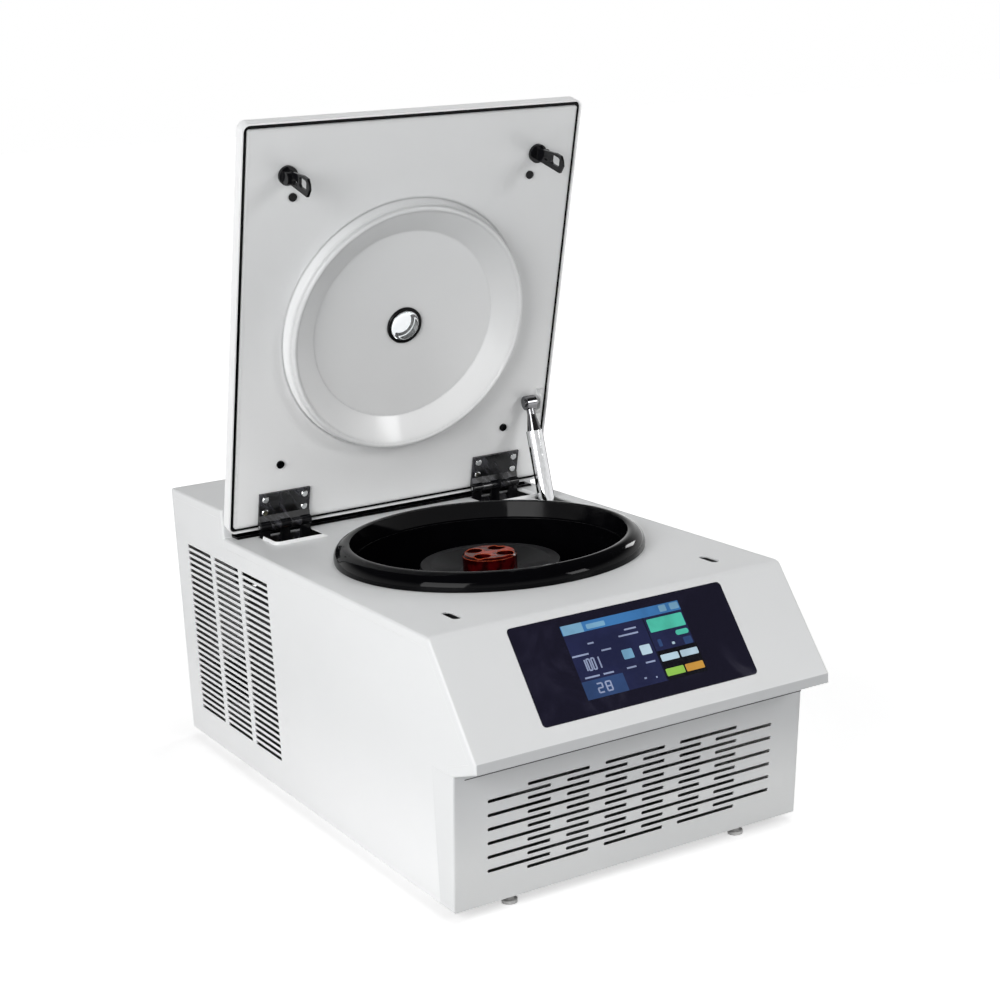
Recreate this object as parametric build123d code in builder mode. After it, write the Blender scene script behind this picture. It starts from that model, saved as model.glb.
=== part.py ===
"""Benchtop cytocentrifuge with its lid open, built from separate pieces.

Frame: origin under the middle of the cabinet at bench level, +Z up, the screen faces -Y. Units are mm.
The lid, the gas strut and the hooks are drawn at the open rest pose.
"""
from build123d import *
from math import cos, hypot, radians, sin, sqrt
import os

os.makedirs("parts", exist_ok=True)

# ---------------------------------------------------------------- cabinet
cabinet_width = 460
cabinet_depth = 810
foot_height = 12
deck_height = 303  # above the underside of the cabinet
rear_height = 340
lip_top_height = 188
lip_drop = 11
brow_height = 160
slope_run = 86  # from the deck crease forward to the lip
brow_setback = 49  # from the lip back to the top of the front grille
toe_setback = 67.6  # from the lip back to the foot of the front grille
skin = 2
flange = 12
bend_radius = 3
crease_radius = 10
lip_radius = 4
front_wrap = 96  # how far the front panel reaches back round the sides, from the lip
cover_depth = 175.64  # of the raised cover behind the lid
foot_radius = 15
foot_inset = 30  # middle of a rubber foot from the side of the cabinet
front_foot_setback = 122
rear_foot_setback = 153
levelling_pad_radius = 9
levelling_stem_radius = 5
levelling_foot_inset = 77
levelling_foot_setback = 14  # behind the foot of the front grille

# ---------------------------------------------------------------- chamber
bowl_y = -51
bowl_radius = 164
bowl_depth = 150
bowl_corner = 24
bowl_flange = 26
deck_hole_gap = 6  # deck hole radius beyond the bowl wall
running_gap = 0.3
gasket_height = 20
gasket_reach = 24  # its foot beyond the bowl wall
gasket_flare = 4  # its mouth beyond the bowl wall
gasket_top_width = 10
gasket_shoulder = 1.6
floor_hole = 42
foam_thickness = 38
foam_floor = 30
tray_thickness = 4
tray_gap = 18.5  # between the tray and the strut's eye
tray_post = 20

# ---------------------------------------------------------------- lid
lid_open_angle = 73.2
lid_step_gap = 2  # between the lid's sweep and the raised cover
axis_v = 0.5  # hinge axis in the lid: along the panel from its hinge edge
axis_rise = 7  # hinge axis in the lid: out of the inner face
lid_gap = 0.3  # closed lid above the gasket
lid_overhang = 0.8  # closed inner panel beyond the deck crease
seal_width = 5
lid_rim = 2
lid_thickness = 19
lid_corner = 10
panel_flange = 10
bead_foot = 167.4
bead_crest_outer = 163
bead_crest_inner = 156
bead_inner = 126
bead_height = 20
window_radius = 20
window_ring = 4
lens_crown = 5
plug_radius = 5.2
plug_inset = 67  # from the side of the lid
plug_v = (82.5, 435.5)

# ---------------------------------------------------------------- hinges
hinge_inset = 74.5  # middle of a hinge from the side of the cabinet
hinge_width = 70
leaf_thickness = 3
leaf_length = 44.5
knuckle_radius = 6
knuckle_count = 5
pin_radius = 2.5
pin_clearance = 0.1
screw_radius = 4.5
screw_spacing = 18
screw_inset = 8
screw_head = 1.8
hinge_cut_reach = 37.3  # deck cut-out forward of the hinge axis
hinge_cut_back = 7.7
hinge_cut_margin = 2
stay_thickness = 4
stay_drop = 66
beam_depth = 58
gutter_height = 6
gutter_wall = 2.5
rear_screw_inset = 8
rear_screw_pitch = 115

# ---------------------------------------------------------------- lid hooks and locks
hook_inset = 59  # hook and its slot from the side of the cabinet
lock_setback = 54.5  # middle of the slot behind the deck crease
hook_shift = 2.2  # middle of the hook's foot behind the middle of the slot
hook_reach = 62.5
hook_thickness = 3.5
hook_back_edge = 7.5
hook_front_edge = 14
hook_base_radius = 12
hook_base_height = 4
hook_barrel_radius = 8
hook_barrel_length = 10
hook_hole_height = 45.5
hook_hole_offset = 4.7
hook_hole_size = (11.6, 19)
hook_slit = (12, 5)
hook_slit_height = 25.5
lock_slot = (32, 11)
bolt_radius = 4.5
bolt_length = 26
bolt_overlap = 4  # tip of the drawn bolt clear of the hook
lock_end_room = 6
lock_body = (46, 50, 44)

# ---------------------------------------------------------------- gas strut
strut_inset = 35.5
ball_v = 118.5
ball_height = 10
strut_lean = 14
strut_open_length = 320
ball_radius = 5
socket_radius = 9.5
socket_length = 38
socket_waist = 5.5
socket_skirt = 9.5
socket_waist_end = 16
tube_radius = 11
tube_end = 183  # from the ball to the open end of the tube
tube_cap = 2
rod_radius = 4
rod_start = 168
eye_radius = 9
eye_width = 12
strut_slot_reach = 136.3  # front end of the deck slot forward of the hinge axis
strut_slot_length = 86
strut_slot_width = 27
bracket_gap = 5  # between the socket and its bracket
bracket_flange = 11
bracket_length = 36
anchor_plate = (44, 60)
anchor_boss_radius = 8
anchor_stud_radius = 4
anchor_stud_length = 4
eye_gap = 0.6  # between the eye and its stud

# ---------------------------------------------------------------- screen
glass_width = 279
glass_length = 113.5
glass_offset = 10  # from the crease down the slope
glass_thickness = 3
glass_corner = 5
lcd_size = (165, 97, 8)
lcd_offset = 63.5
board_size = (188, 104, 1.6)
bracket_rim = 4
bracket_depth = 8
standoff_length = 6
standoff_radius = 3
chip_height = 3

# ---------------------------------------------------------------- rotor and drive
rotor_lid_radius = 85
rotor_lid_drop = 14  # rotor lid edge below the deck
rotor_dish = 10
rotor_radius = 118
rotor_height = 80
knob_radius = 33
knob_height = 21
knob_pockets = 4
knob_pocket_radius = 10.5
knob_pocket_reach = 20.5
knob_pocket_depth = 15
knob_pocket_turn = 36  # degrees
knob_chamfer = 3
stud_radius = 6
hub_radius = 24
rotor_lid_thickness = 5
spindle_radius = 9
spindle_lift = 20  # foot of the spindle above the underside of the motor
motor_radius = 58
motor_slots = 24
motor_slot = (6, 4)
motor_sink = 12  # top of the motor inside the insulation
snout_radius = 22
snout_rise = 14  # above the bowl floor
boot_flange = 8
boot_height = 3
boot_wall = 4
damper_height = 20
mount_plate_radius = 92
mount_plate_thickness = 6

# ---------------------------------------------------------------- vents
side_slot = (79, 4.3)
side_slot_columns = 3
side_slot_rows = 28
side_slot_pitch = (90.75, 8.33)
side_slots_setback = 176.3  # middle of the side slots forward of the rear
side_slots_height = 156.3
rear_slot_rows = 16
front_slot = (79.5, 3.8)
front_slot_pitch = (99, 16.6)
front_slots_height = 81

# ---------------------------------------------------------------- cooling unit
compressor_inset = (135, 105)  # from the left side and from the rear
compressor_radius = 76
compressor_height = 190
compressor_foot = 3
compressor_foot_spread = 114
grommet_height = 12
mount_radius = 10
pipe_spread = 25  # pipe ends from the middle of the compressor
pipe_seat = 20  # how far the suction pipe enters the insulation
condenser_size = (50, 212)
condenser_inset = (53, 125)  # from the right side and from the rear
condenser_drop = 20.3  # top of the condenser below the hinge stays
fan_radius = 84
fan_blades = 7
fan_hub_radius = 24
fan_hub_length = 22
fan_motor_radius = 30
fan_motor_length = 44
fan_shaft_radius = 4
shroud_depth = 12
shroud_gap = 4
blade_thickness = 2
condenser_fins = 26
condenser_fin_pitch = 7.6
condenser_rim = 8
fin_depth = 4
pipe_radius = 4
pipe_bend = 16

# ---------------------------------------------------------------- electronics and mains inlet
supply_size = (96, 180, 60)
supply_inset = 64
supply_offset = 11  # behind the middle of the chamber
inverter_size = (96, 160, 66)
inverter_inset = 64
inverter_offset = -9
inverter_fins = 9
inlet_inset = 60
inlet_height = 60  # above the underside of the cabinet
inlet_size = (52, 60)
inlet_rim = 4
inlet_depth = 28
socket_size = (28, 21)
socket_depth = 18
rocker_size = (22, 14)
rocker_travel = 14  # degrees
rocker_depth = 9  # pivot behind the face of the inlet

# ---------------------------------------------------------------- places worked out from the sizes above
base_z = foot_height
deck_z = base_z + deck_height
rear_top_z = base_z + rear_height
lip_top_z = base_z + lip_top_height
lip_bottom_z = lip_top_z - lip_drop
brow_z = base_z + brow_height
half_width = cabinet_width / 2
lip_y = -cabinet_depth / 2
rear_y = cabinet_depth / 2
crease_y = lip_y + slope_run
brow_y = lip_y + brow_setback
toe_y = lip_y + toe_setback
wrap_y = lip_y + front_wrap
under_deck_z = deck_z - skin
cover_bottom_z = deck_z - flange
base_top_z = base_z + skin

closed_plane_z = deck_z + gasket_height + lid_gap
axis_z = closed_plane_z - axis_rise
rim_v = seal_width + lid_rim
lid_sweep = hypot(rim_v + axis_v, lid_thickness + axis_rise)
step_y = rear_y - cover_depth
axis_y = step_y - lid_step_gap - lid_sweep
closed_edge_y = axis_y + axis_v  # hinge edge of the closed inner panel
lid_width = cabinet_width
panel_width = lid_width - 2 * rim_v
panel_length = closed_edge_y - crease_y + lid_overhang
lid_length = panel_length + 2 * rim_v
bead_v = closed_edge_y - bowl_y
lock_y = crease_y + lock_setback
hook_v = closed_edge_y - lock_y - hook_shift
hook_x = half_width - hook_inset
hinge_x = half_width - hinge_inset
plug_x = half_width - plug_inset
strut_x = half_width - strut_inset
tray_width = 2 * (strut_x - eye_width / 2 - tray_gap)
step_radius = min(lip_radius, (rear_height - deck_height) / 2)
hinge_cut_rear = axis_y + hinge_cut_back
hinge_cut_front = axis_y - hinge_cut_reach
strut_slot_y = axis_y - strut_slot_reach + strut_slot_length / 2

lid_along = Vector(0, -cos(radians(lid_open_angle)), sin(radians(lid_open_angle)))
lid_inward = Vector(0, -sin(radians(lid_open_angle)), -cos(radians(lid_open_angle)))
lid_origin = Vector(0, axis_y, axis_z) - lid_along * axis_v - lid_inward * axis_rise
lid_plane = Plane(origin=lid_origin, x_dir=(1, 0, 0), z_dir=lid_inward)


def lid_point(x, v, n):
    """A point of the open lid: across, along from the hinge edge, and out of the inner face."""
    return lid_origin + Vector(x, 0, 0) + lid_along * v + lid_inward * n


def lid_section(x):
    """The plane across the lid at x, drawn in (v, n)."""
    return Plane(origin=lid_point(x, 0, 0), x_dir=lid_along, z_dir=(1, 0, 0))


# ---------------------------------------------------------------- cabinet panels
with BuildSketch() as side_outline:
    with BuildLine():
        Polyline(
            (rear_y, base_z),
            (rear_y, rear_top_z),
            (step_y, rear_top_z),
            (step_y, deck_z),
            (crease_y, deck_z),
            (lip_y, lip_top_z),
            (lip_y, lip_bottom_z),
            (brow_y, brow_z),
            (toe_y, base_z),
            close=True,
        )
    make_face()
    fillet(side_outline.vertices().sort_by_distance((crease_y, deck_z))[0], crease_radius)
    fillet(side_outline.vertices().sort_by_distance((lip_y, lip_top_z))[0], lip_radius)
    fillet(side_outline.vertices().sort_by_distance((step_y, rear_top_z))[0], step_radius)
    fillet(side_outline.vertices().sort_by_distance((rear_y, rear_top_z))[0], lip_radius)

with BuildSketch() as flange_band:
    add(side_outline.sketch)
    offset(side_outline.sketch, -flange, kind=Kind.INTERSECTION, mode=Mode.SUBTRACT)

# the whole casing as one thin shell, from which the bent panels are cut
with BuildPart() as casing:
    with BuildSketch(Plane.YZ):
        add(side_outline.sketch)
    extrude(amount=half_width, both=True)
    casing_sides = casing.faces().sort_by(Axis.X)
    fillet(casing_sides[0].edges() + casing_sides[-1].edges(), bend_radius)
    with BuildSketch(Plane.YZ):
        offset(side_outline.sketch, -skin, kind=Kind.INTERSECTION)
    extrude(amount=half_width - skin, both=True, mode=Mode.SUBTRACT)

slope_along = Vector(0, lip_y - crease_y, lip_top_z - deck_z).normalized()
slope_plane = Plane(
    origin=(0, crease_y, deck_z), x_dir=(1, 0, 0), z_dir=Vector(1, 0, 0).cross(slope_along * -1)
)
glass_y = -glass_offset - glass_length / 2
deck_hole_radius = bowl_radius + deck_hole_gap
gasket_foot = bowl_radius + gasket_reach
gasket_top_inner = bowl_radius + gasket_flare

with BuildPart() as deck_panel:
    add(casing.part)
    with BuildSketch(Plane.YZ):
        add(flange_band.sketch)
        with Locations((step_y, brow_z)):
            Rectangle(cabinet_depth, rear_height, align=(Align.MAX, Align.MIN), mode=Mode.INTERSECT)
    extrude(amount=half_width, both=True, mode=Mode.INTERSECT)
    with BuildSketch(Plane.XY.offset(under_deck_z)):
        with Locations((0, bowl_y)):
            Circle(deck_hole_radius)
        with Locations((-hook_x, lock_y), (hook_x, lock_y)):
            SlotOverall(*lock_slot, rotation=90)
        with Locations((-hinge_x, hinge_cut_rear), (hinge_x, hinge_cut_rear)):
            Rectangle(
                hinge_width + 2 * hinge_cut_margin,
                hinge_cut_rear - hinge_cut_front,
                align=(Align.CENTER, Align.MAX),
            )
        with Locations((strut_x, strut_slot_y)):
            SlotOverall(strut_slot_length, strut_slot_width, rotation=90)
    extrude(amount=skin, mode=Mode.SUBTRACT)
    with BuildSketch(slope_plane):
        with Locations((0, glass_y)):
            RectangleRounded(
                glass_width + 2 * running_gap, glass_length + 2 * running_gap, glass_corner + running_gap
            )
    extrude(amount=-skin, mode=Mode.SUBTRACT)
deck_panel.part.label = "deck_panel"
export_step(deck_panel.part, "parts/deck_panel.step")

with BuildPart() as rear_top_cover:
    add(casing.part)
    with BuildSketch(Plane.YZ):
        add(flange_band.sketch)
        with Locations((step_y, cover_bottom_z)):
            Rectangle(cabinet_depth, rear_height, align=(Align.MIN, Align.MIN), mode=Mode.INTERSECT)
    extrude(amount=half_width, both=True, mode=Mode.INTERSECT)
rear_top_cover.part.label = "rear_top_cover"
export_step(rear_top_cover.part, "parts/rear_top_cover.step")

for side, name in ((-1, "left"), (1, "right")):
    with BuildPart() as side_panel:
        add(casing.part)
        with BuildSketch(Plane.YZ):
            add(side_outline.sketch)
            with BuildSketch(mode=Mode.PRIVATE) as top_flanges:
                add(flange_band.sketch)
                with Locations((0, brow_z)):
                    Rectangle(
                        2 * cabinet_depth, rear_height, align=(Align.CENTER, Align.MIN), mode=Mode.INTERSECT
                    )
                with Locations((rear_y - flange, brow_z)):
                    Rectangle(
                        flange, cover_bottom_z - brow_z, align=(Align.MIN, Align.MIN), mode=Mode.SUBTRACT
                    )
            add(top_flanges.sketch, mode=Mode.SUBTRACT)
            with Locations((wrap_y, brow_z)):
                Rectangle(cabinet_depth, rear_height, align=(Align.MAX, Align.MAX), mode=Mode.SUBTRACT)
        extrude(amount=half_width, both=True, mode=Mode.INTERSECT)
        with Locations((side * half_width, 0, rear_height)):
            Box(2 * flange, 2 * cabinet_depth, 4 * rear_height, mode=Mode.INTERSECT)
        with BuildSketch(Plane.YZ.offset(side * (half_width - skin / 2))):
            with Locations((rear_y - side_slots_setback, base_z + side_slots_height)):
                with GridLocations(*side_slot_pitch, side_slot_columns, side_slot_rows):
                    Rectangle(*side_slot)
        extrude(amount=skin, both=True, mode=Mode.SUBTRACT)
    side_panel.part.label = f"side_panel_{name}"
    export_step(side_panel.part, f"parts/side_panel_{name}.step")

front_along = Vector(0, brow_y - toe_y, brow_z - base_z).normalized()
front_plane = Plane(origin=(0, toe_y, base_z), x_dir=(1, 0, 0), z_dir=Vector(1, 0, 0).cross(front_along))

with BuildPart() as front_panel:
    add(casing.part)
    with BuildSketch(Plane.YZ):
        with Locations((wrap_y, brow_z)):
            Rectangle(cabinet_depth, rear_height, align=(Align.MAX, Align.MAX))
    extrude(amount=half_width, both=True, mode=Mode.INTERSECT)
    with BuildSketch(front_plane):
        with Locations((0, front_slots_height)):
            with GridLocations(*front_slot_pitch, 4, 6):
                SlotOverall(*front_slot)
            with GridLocations(*front_slot_pitch, 3, 7):
                SlotOverall(*front_slot)
    extrude(amount=skin * 2, both=True, mode=Mode.SUBTRACT)
front_panel.part.label = "front_panel"
export_step(front_panel.part, "parts/front_panel.step")

inlet_x = inlet_inset - half_width
inlet_z = base_z + inlet_height
panel_outer_y = rear_y - skin
with BuildPart() as rear_panel:
    with BuildSketch(Plane.XZ.offset(-(rear_y - skin))):
        with Locations((0, base_top_z)):
            Rectangle(
                cabinet_width - 2 * skin, rear_top_z - flange - base_top_z, align=(Align.CENTER, Align.MIN)
            )
        with Locations((0, base_z + side_slots_height + 20)):
            with GridLocations(side_slot_pitch[0], side_slot_pitch[1] * 1.5, 3, rear_slot_rows):
                Rectangle(*side_slot, mode=Mode.SUBTRACT)
        with Locations((inlet_x, inlet_z)):
            Rectangle(inlet_size[0] - 2 * inlet_rim, inlet_size[1] - 2 * inlet_rim, mode=Mode.SUBTRACT)
    extrude(amount=skin)
rear_panel.part.label = "rear_panel"
export_step(rear_panel.part, "parts/rear_panel.step")

pan_half = half_width - flange
with BuildPart() as base_pan:
    with BuildSketch(Plane.XY.offset(base_z)):
        with Locations((0, wrap_y)):
            Rectangle(2 * pan_half, rear_y - skin - wrap_y, align=(Align.CENTER, Align.MIN))
    extrude(amount=skin)
    for side in (-1, 1):
        with Locations((side * (pan_half - skin / 2), wrap_y, base_z)):
            Box(skin, rear_y - skin - wrap_y - flange, flange, align=(Align.CENTER, Align.MIN, Align.MIN))
base_pan.part.label = "base_pan"
export_step(base_pan.part, "parts/base_pan.step")

side_foot_x = half_width - foot_inset
with BuildPart() as rubber_feet:
    for foot_y in (lip_y + front_foot_setback, rear_y - rear_foot_setback):
        with BuildSketch(Plane.XY):
            with Locations((-side_foot_x, foot_y), (side_foot_x, foot_y)):
                Circle(foot_radius)
        extrude(amount=foot_height)
    chamfer(rubber_feet.faces().group_by(Axis.Z)[0].edges(), 2)
rubber_feet.part.label = "rubber_feet"
export_step(rubber_feet.part, "parts/rubber_feet.step")

levelling_foot_x = half_width - levelling_foot_inset
levelling_foot_y = toe_y + levelling_foot_setback
with BuildPart() as levelling_feet:
    for radius, height in ((levelling_pad_radius, foot_height / 3), (levelling_stem_radius, foot_height)):
        with BuildSketch(Plane.XY):
            with Locations((-levelling_foot_x, levelling_foot_y), (levelling_foot_x, levelling_foot_y)):
                Circle(radius)
        extrude(amount=height)
levelling_feet.part.label = "levelling_feet"
export_step(levelling_feet.part, "parts/levelling_feet.step")

# ---------------------------------------------------------------- chamber
bowl_axis = Axis((0, bowl_y, 0), (0, 0, 1))
bowl_section = Plane(origin=(0, bowl_y, 0), x_dir=(1, 0, 0), z_dir=(0, -1, 0))
bowl_floor_z = under_deck_z - bowl_depth

with BuildPart() as rim_gasket:
    with BuildSketch(bowl_section):
        with BuildLine():
            neck = (deck_hole_radius - running_gap, deck_z)
            crown = (gasket_top_inner + gasket_top_width, deck_z + gasket_height - gasket_shoulder)
            lip = (gasket_top_inner, deck_z + gasket_height * 0.96)
            Polyline((bowl_radius, under_deck_z), (neck[0], under_deck_z), neck, (gasket_foot, deck_z))
            ThreePointArc(
                (gasket_foot, deck_z), (gasket_foot - gasket_shoulder, deck_z + gasket_height * 0.55), crown
            )
            ThreePointArc(crown, ((crown[0] + lip[0]) / 2, deck_z + gasket_height), lip)
            Polyline(lip, (bowl_radius, deck_z), (bowl_radius, under_deck_z))
        make_face()
    revolve(axis=bowl_axis)
rim_gasket.part.label = "rim_gasket"
export_step(rim_gasket.part, "parts/rim_gasket.step")

with BuildPart() as chamber_bowl:
    with BuildSketch(bowl_section):
        with BuildLine():
            Polyline(
                (floor_hole, bowl_floor_z),
                (bowl_radius, bowl_floor_z),
                (bowl_radius, under_deck_z),
                (bowl_radius + bowl_flange, under_deck_z),
                (bowl_radius + bowl_flange, under_deck_z - skin),
                (bowl_radius + skin, under_deck_z - skin),
                (bowl_radius + skin, bowl_floor_z - skin),
                (floor_hole, bowl_floor_z - skin),
                close=True,
            )
        make_face()
    revolve(axis=bowl_axis)
    for wall_radius, corner in ((bowl_radius, bowl_corner), (bowl_radius + skin, bowl_corner + skin)):
        wall_edges = chamber_bowl.edges().filter_by(GeomType.CIRCLE)
        wall_edges = ShapeList([edge for edge in wall_edges if edge.radius == wall_radius])
        fillet(wall_edges.sort_by(Axis.Z)[0], corner)
chamber_bowl.part.label = "chamber_bowl"
export_step(chamber_bowl.part, "parts/chamber_bowl.step")

foam_radius = bowl_radius + skin + foam_thickness
foam_bottom_z = bowl_floor_z - skin - foam_floor
compressor_x = compressor_inset[0] - half_width
compressor_y = rear_y - compressor_inset[1]
compressor_place = (compressor_x, compressor_y)
compressor_foot_z = base_top_z + grommet_height
compressor_top_z = compressor_foot_z + compressor_foot + compressor_height
suction_x = compressor_x - pipe_spread
suction_z = compressor_top_z + 1.5 * pipe_bend
suction_end_y = bowl_y + sqrt(foam_radius**2 - suction_x**2) - pipe_seat
with BuildPart() as tank_insulation:
    with BuildSketch(Plane.XY.offset(foam_bottom_z)):
        with Locations((0, bowl_y)):
            Circle(foam_radius)
    extrude(amount=under_deck_z - skin - foam_bottom_z)
    with BuildSketch(Plane.XY.offset(bowl_floor_z - skin)):
        with Locations((0, bowl_y)):
            Circle(bowl_radius + skin)
    extrude(amount=bowl_depth, mode=Mode.SUBTRACT)
    with BuildSketch(Plane.XY.offset(foam_bottom_z)):
        with Locations((0, bowl_y)):
            Circle(motor_radius + skin)
    extrude(amount=bowl_depth, mode=Mode.SUBTRACT)
    with BuildSketch(Plane.XZ.offset(-suction_end_y)):
        with Locations((suction_x, suction_z)):
            Circle(pipe_radius + running_gap)
    extrude(amount=-foam_radius, mode=Mode.SUBTRACT)
tank_insulation.part.label = "tank_insulation"
export_step(tank_insulation.part, "parts/tank_insulation.step")

with BuildPart() as chamber_tray:
    with BuildSketch(Plane.XY.offset(foam_bottom_z - tray_thickness)):
        with Locations((0, bowl_y)):
            RectangleRounded(tray_width, tray_width, tray_post)
            Circle(motor_radius + 4 * skin, mode=Mode.SUBTRACT)
    extrude(amount=tray_thickness)
    with BuildSketch(Plane.XY.offset(base_top_z)):
        with Locations((0, bowl_y)):
            with GridLocations(tray_width - 2 * tray_post, tray_width - 2 * tray_post, 2, 2):
                Rectangle(tray_post, tray_post)
                Rectangle(tray_post - 2 * skin, tray_post - 2 * skin, mode=Mode.SUBTRACT)
    extrude(amount=foam_bottom_z - tray_thickness - base_top_z)
chamber_tray.part.label = "chamber_tray"
export_step(chamber_tray.part, "parts/chamber_tray.step")

# ---------------------------------------------------------------- drive
mount_plate_z = base_top_z + damper_height
motor_bottom_z = mount_plate_z + mount_plate_thickness
motor_top_z = foam_bottom_z + motor_sink
snout_top_z = bowl_floor_z + snout_rise
spindle_bottom_z = motor_bottom_z + spindle_lift

with BuildPart() as motor_plate:
    with BuildSketch(Plane.XY.offset(mount_plate_z)):
        with Locations((0, bowl_y)):
            Circle(mount_plate_radius)
    extrude(amount=mount_plate_thickness)
motor_plate.part.label = "motor_plate"
export_step(motor_plate.part, "parts/motor_plate.step")

with BuildPart() as drive_motor:
    with BuildSketch(Plane.XY.offset(motor_bottom_z)):
        with Locations((0, bowl_y)):
            Circle(motor_radius)
            with PolarLocations(motor_radius, motor_slots):
                Rectangle(*motor_slot, mode=Mode.SUBTRACT)
    extrude(amount=motor_top_z - motor_bottom_z)
    with BuildSketch(Plane.XY.offset(motor_top_z)):
        with Locations((0, bowl_y)):
            Circle(snout_radius)
    extrude(amount=snout_top_z - motor_top_z)
    with BuildSketch(Plane.XY.offset(spindle_bottom_z)):
        with Locations((0, bowl_y)):
            Circle(spindle_radius + running_gap)
    extrude(amount=snout_top_z - spindle_bottom_z, mode=Mode.SUBTRACT)
drive_motor.part.label = "drive_motor"
export_step(drive_motor.part, "parts/drive_motor.step")

with BuildPart() as motor_boot:
    with BuildSketch(bowl_section):
        with BuildLine():
            Polyline(
                (snout_radius, bowl_floor_z - skin),
                (floor_hole, bowl_floor_z - skin),
                (floor_hole, bowl_floor_z),
                (floor_hole + boot_flange, bowl_floor_z),
                (floor_hole + boot_flange, bowl_floor_z + boot_height),
                (floor_hole - boot_wall, bowl_floor_z + boot_height),
                (snout_radius + boot_wall, snout_top_z),
                (snout_radius, snout_top_z),
                close=True,
            )
        make_face()
    revolve(axis=bowl_axis)
motor_boot.part.label = "motor_boot"
export_step(motor_boot.part, "parts/motor_boot.step")

# ---------------------------------------------------------------- rotor
rotor_edge_z = deck_z - rotor_lid_drop
rotor_dish_z = rotor_edge_z - rotor_dish
rotor_bottom_z = rotor_edge_z - rotor_height

with BuildPart() as drive_spindle:
    with BuildSketch(Plane.XY.offset(spindle_bottom_z + running_gap)):
        with Locations((0, bowl_y)):
            Circle(spindle_radius)
    extrude(amount=rotor_dish_z - 2 * rotor_lid_thickness - spindle_bottom_z - running_gap)
    with BuildSketch(Plane.XY.offset(rotor_dish_z - 2 * rotor_lid_thickness)):
        with Locations((0, bowl_y)):
            Circle(stud_radius)
    extrude(amount=2 * rotor_lid_thickness + knob_height / 2)
drive_spindle.part.label = "drive_spindle"
export_step(drive_spindle.part, "parts/drive_spindle.step")

with BuildPart() as rotor_body:
    with BuildSketch(bowl_section):
        with BuildLine():
            Polyline(
                (spindle_radius, rotor_bottom_z),
                (hub_radius, rotor_bottom_z),
                (hub_radius + 4, rotor_bottom_z + 40),
                (rotor_radius - 34, rotor_bottom_z + 40),
                (rotor_radius - 14, rotor_bottom_z),
                (rotor_radius - 4, rotor_bottom_z),
                (rotor_radius, rotor_bottom_z + 6),
                (rotor_radius, rotor_bottom_z + 24),
                (rotor_lid_radius, rotor_edge_z - rotor_lid_thickness),
                (rotor_lid_radius - 12, rotor_edge_z - rotor_lid_thickness),
                (knob_radius + 4, rotor_dish_z - rotor_lid_thickness),
                (stud_radius, rotor_dish_z - rotor_lid_thickness),
                (stud_radius, rotor_dish_z - 2 * rotor_lid_thickness),
                (spindle_radius, rotor_dish_z - 2 * rotor_lid_thickness),
                close=True,
            )
        make_face()
    revolve(axis=bowl_axis)
rotor_body.part.label = "rotor_body"
export_step(rotor_body.part, "parts/rotor_body.step")

with BuildPart() as rotor_lid:
    with BuildSketch(bowl_section):
        with BuildLine():
            Polyline(
                (stud_radius, rotor_dish_z - rotor_lid_thickness),
                (knob_radius + 4, rotor_dish_z - rotor_lid_thickness),
                (rotor_lid_radius - 12, rotor_edge_z - rotor_lid_thickness),
                (rotor_lid_radius, rotor_edge_z - rotor_lid_thickness),
                (rotor_lid_radius, rotor_edge_z - 1),
                (rotor_lid_radius - 1, rotor_edge_z),
                (rotor_lid_radius - 12, rotor_edge_z),
                (knob_radius + 4, rotor_dish_z),
                (stud_radius, rotor_dish_z),
                close=True,
            )
        make_face()
    revolve(axis=bowl_axis)
rotor_lid.part.label = "rotor_lid"
export_step(rotor_lid.part, "parts/rotor_lid.step")

knob_plane = Plane(origin=(0, bowl_y, rotor_dish_z + running_gap))
with BuildPart() as rotor_knob:
    with BuildSketch(knob_plane):
        Circle(knob_radius)
    extrude(amount=knob_height)
    chamfer(rotor_knob.faces().sort_by(Axis.Z)[-1].edges(), knob_chamfer)
    with BuildSketch(knob_plane.offset(knob_height)):
        with PolarLocations(knob_pocket_reach, knob_pockets, start_angle=knob_pocket_turn):
            Circle(knob_pocket_radius)
    extrude(amount=-knob_pocket_depth, mode=Mode.SUBTRACT)
    with BuildSketch(knob_plane):
        Circle(stud_radius + running_gap)
    extrude(amount=knob_height / 2 + 1, mode=Mode.SUBTRACT)
rotor_knob.part.label = "rotor_knob"
export_step(rotor_knob.part, "parts/rotor_knob.step")

# ---------------------------------------------------------------- lid
rim_centre = panel_length / 2
with BuildPart() as lid_shell:
    with BuildSketch(lid_plane):
        with Locations((0, rim_centre)):
            RectangleRounded(lid_width, lid_length, lid_corner)
    extrude(amount=-lid_thickness)
    back_face = lid_shell.faces().sort_by(Axis(lid_origin, lid_inward))[0]
    fillet(back_face.edges(), bend_radius)
    with BuildSketch(lid_plane):
        with Locations((0, rim_centre)):
            RectangleRounded(lid_width - 2 * lid_rim, lid_length - 2 * lid_rim, lid_corner - lid_rim)
    extrude(amount=-(lid_thickness - skin), mode=Mode.SUBTRACT)
    with BuildSketch(lid_plane.offset(-lid_thickness)):
        with Locations((0, bead_v)):
            Circle(window_radius)
    extrude(amount=skin, mode=Mode.SUBTRACT)
lid_shell.part.label = "lid_shell"
export_step(lid_shell.part, "parts/lid_shell.step")

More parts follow.
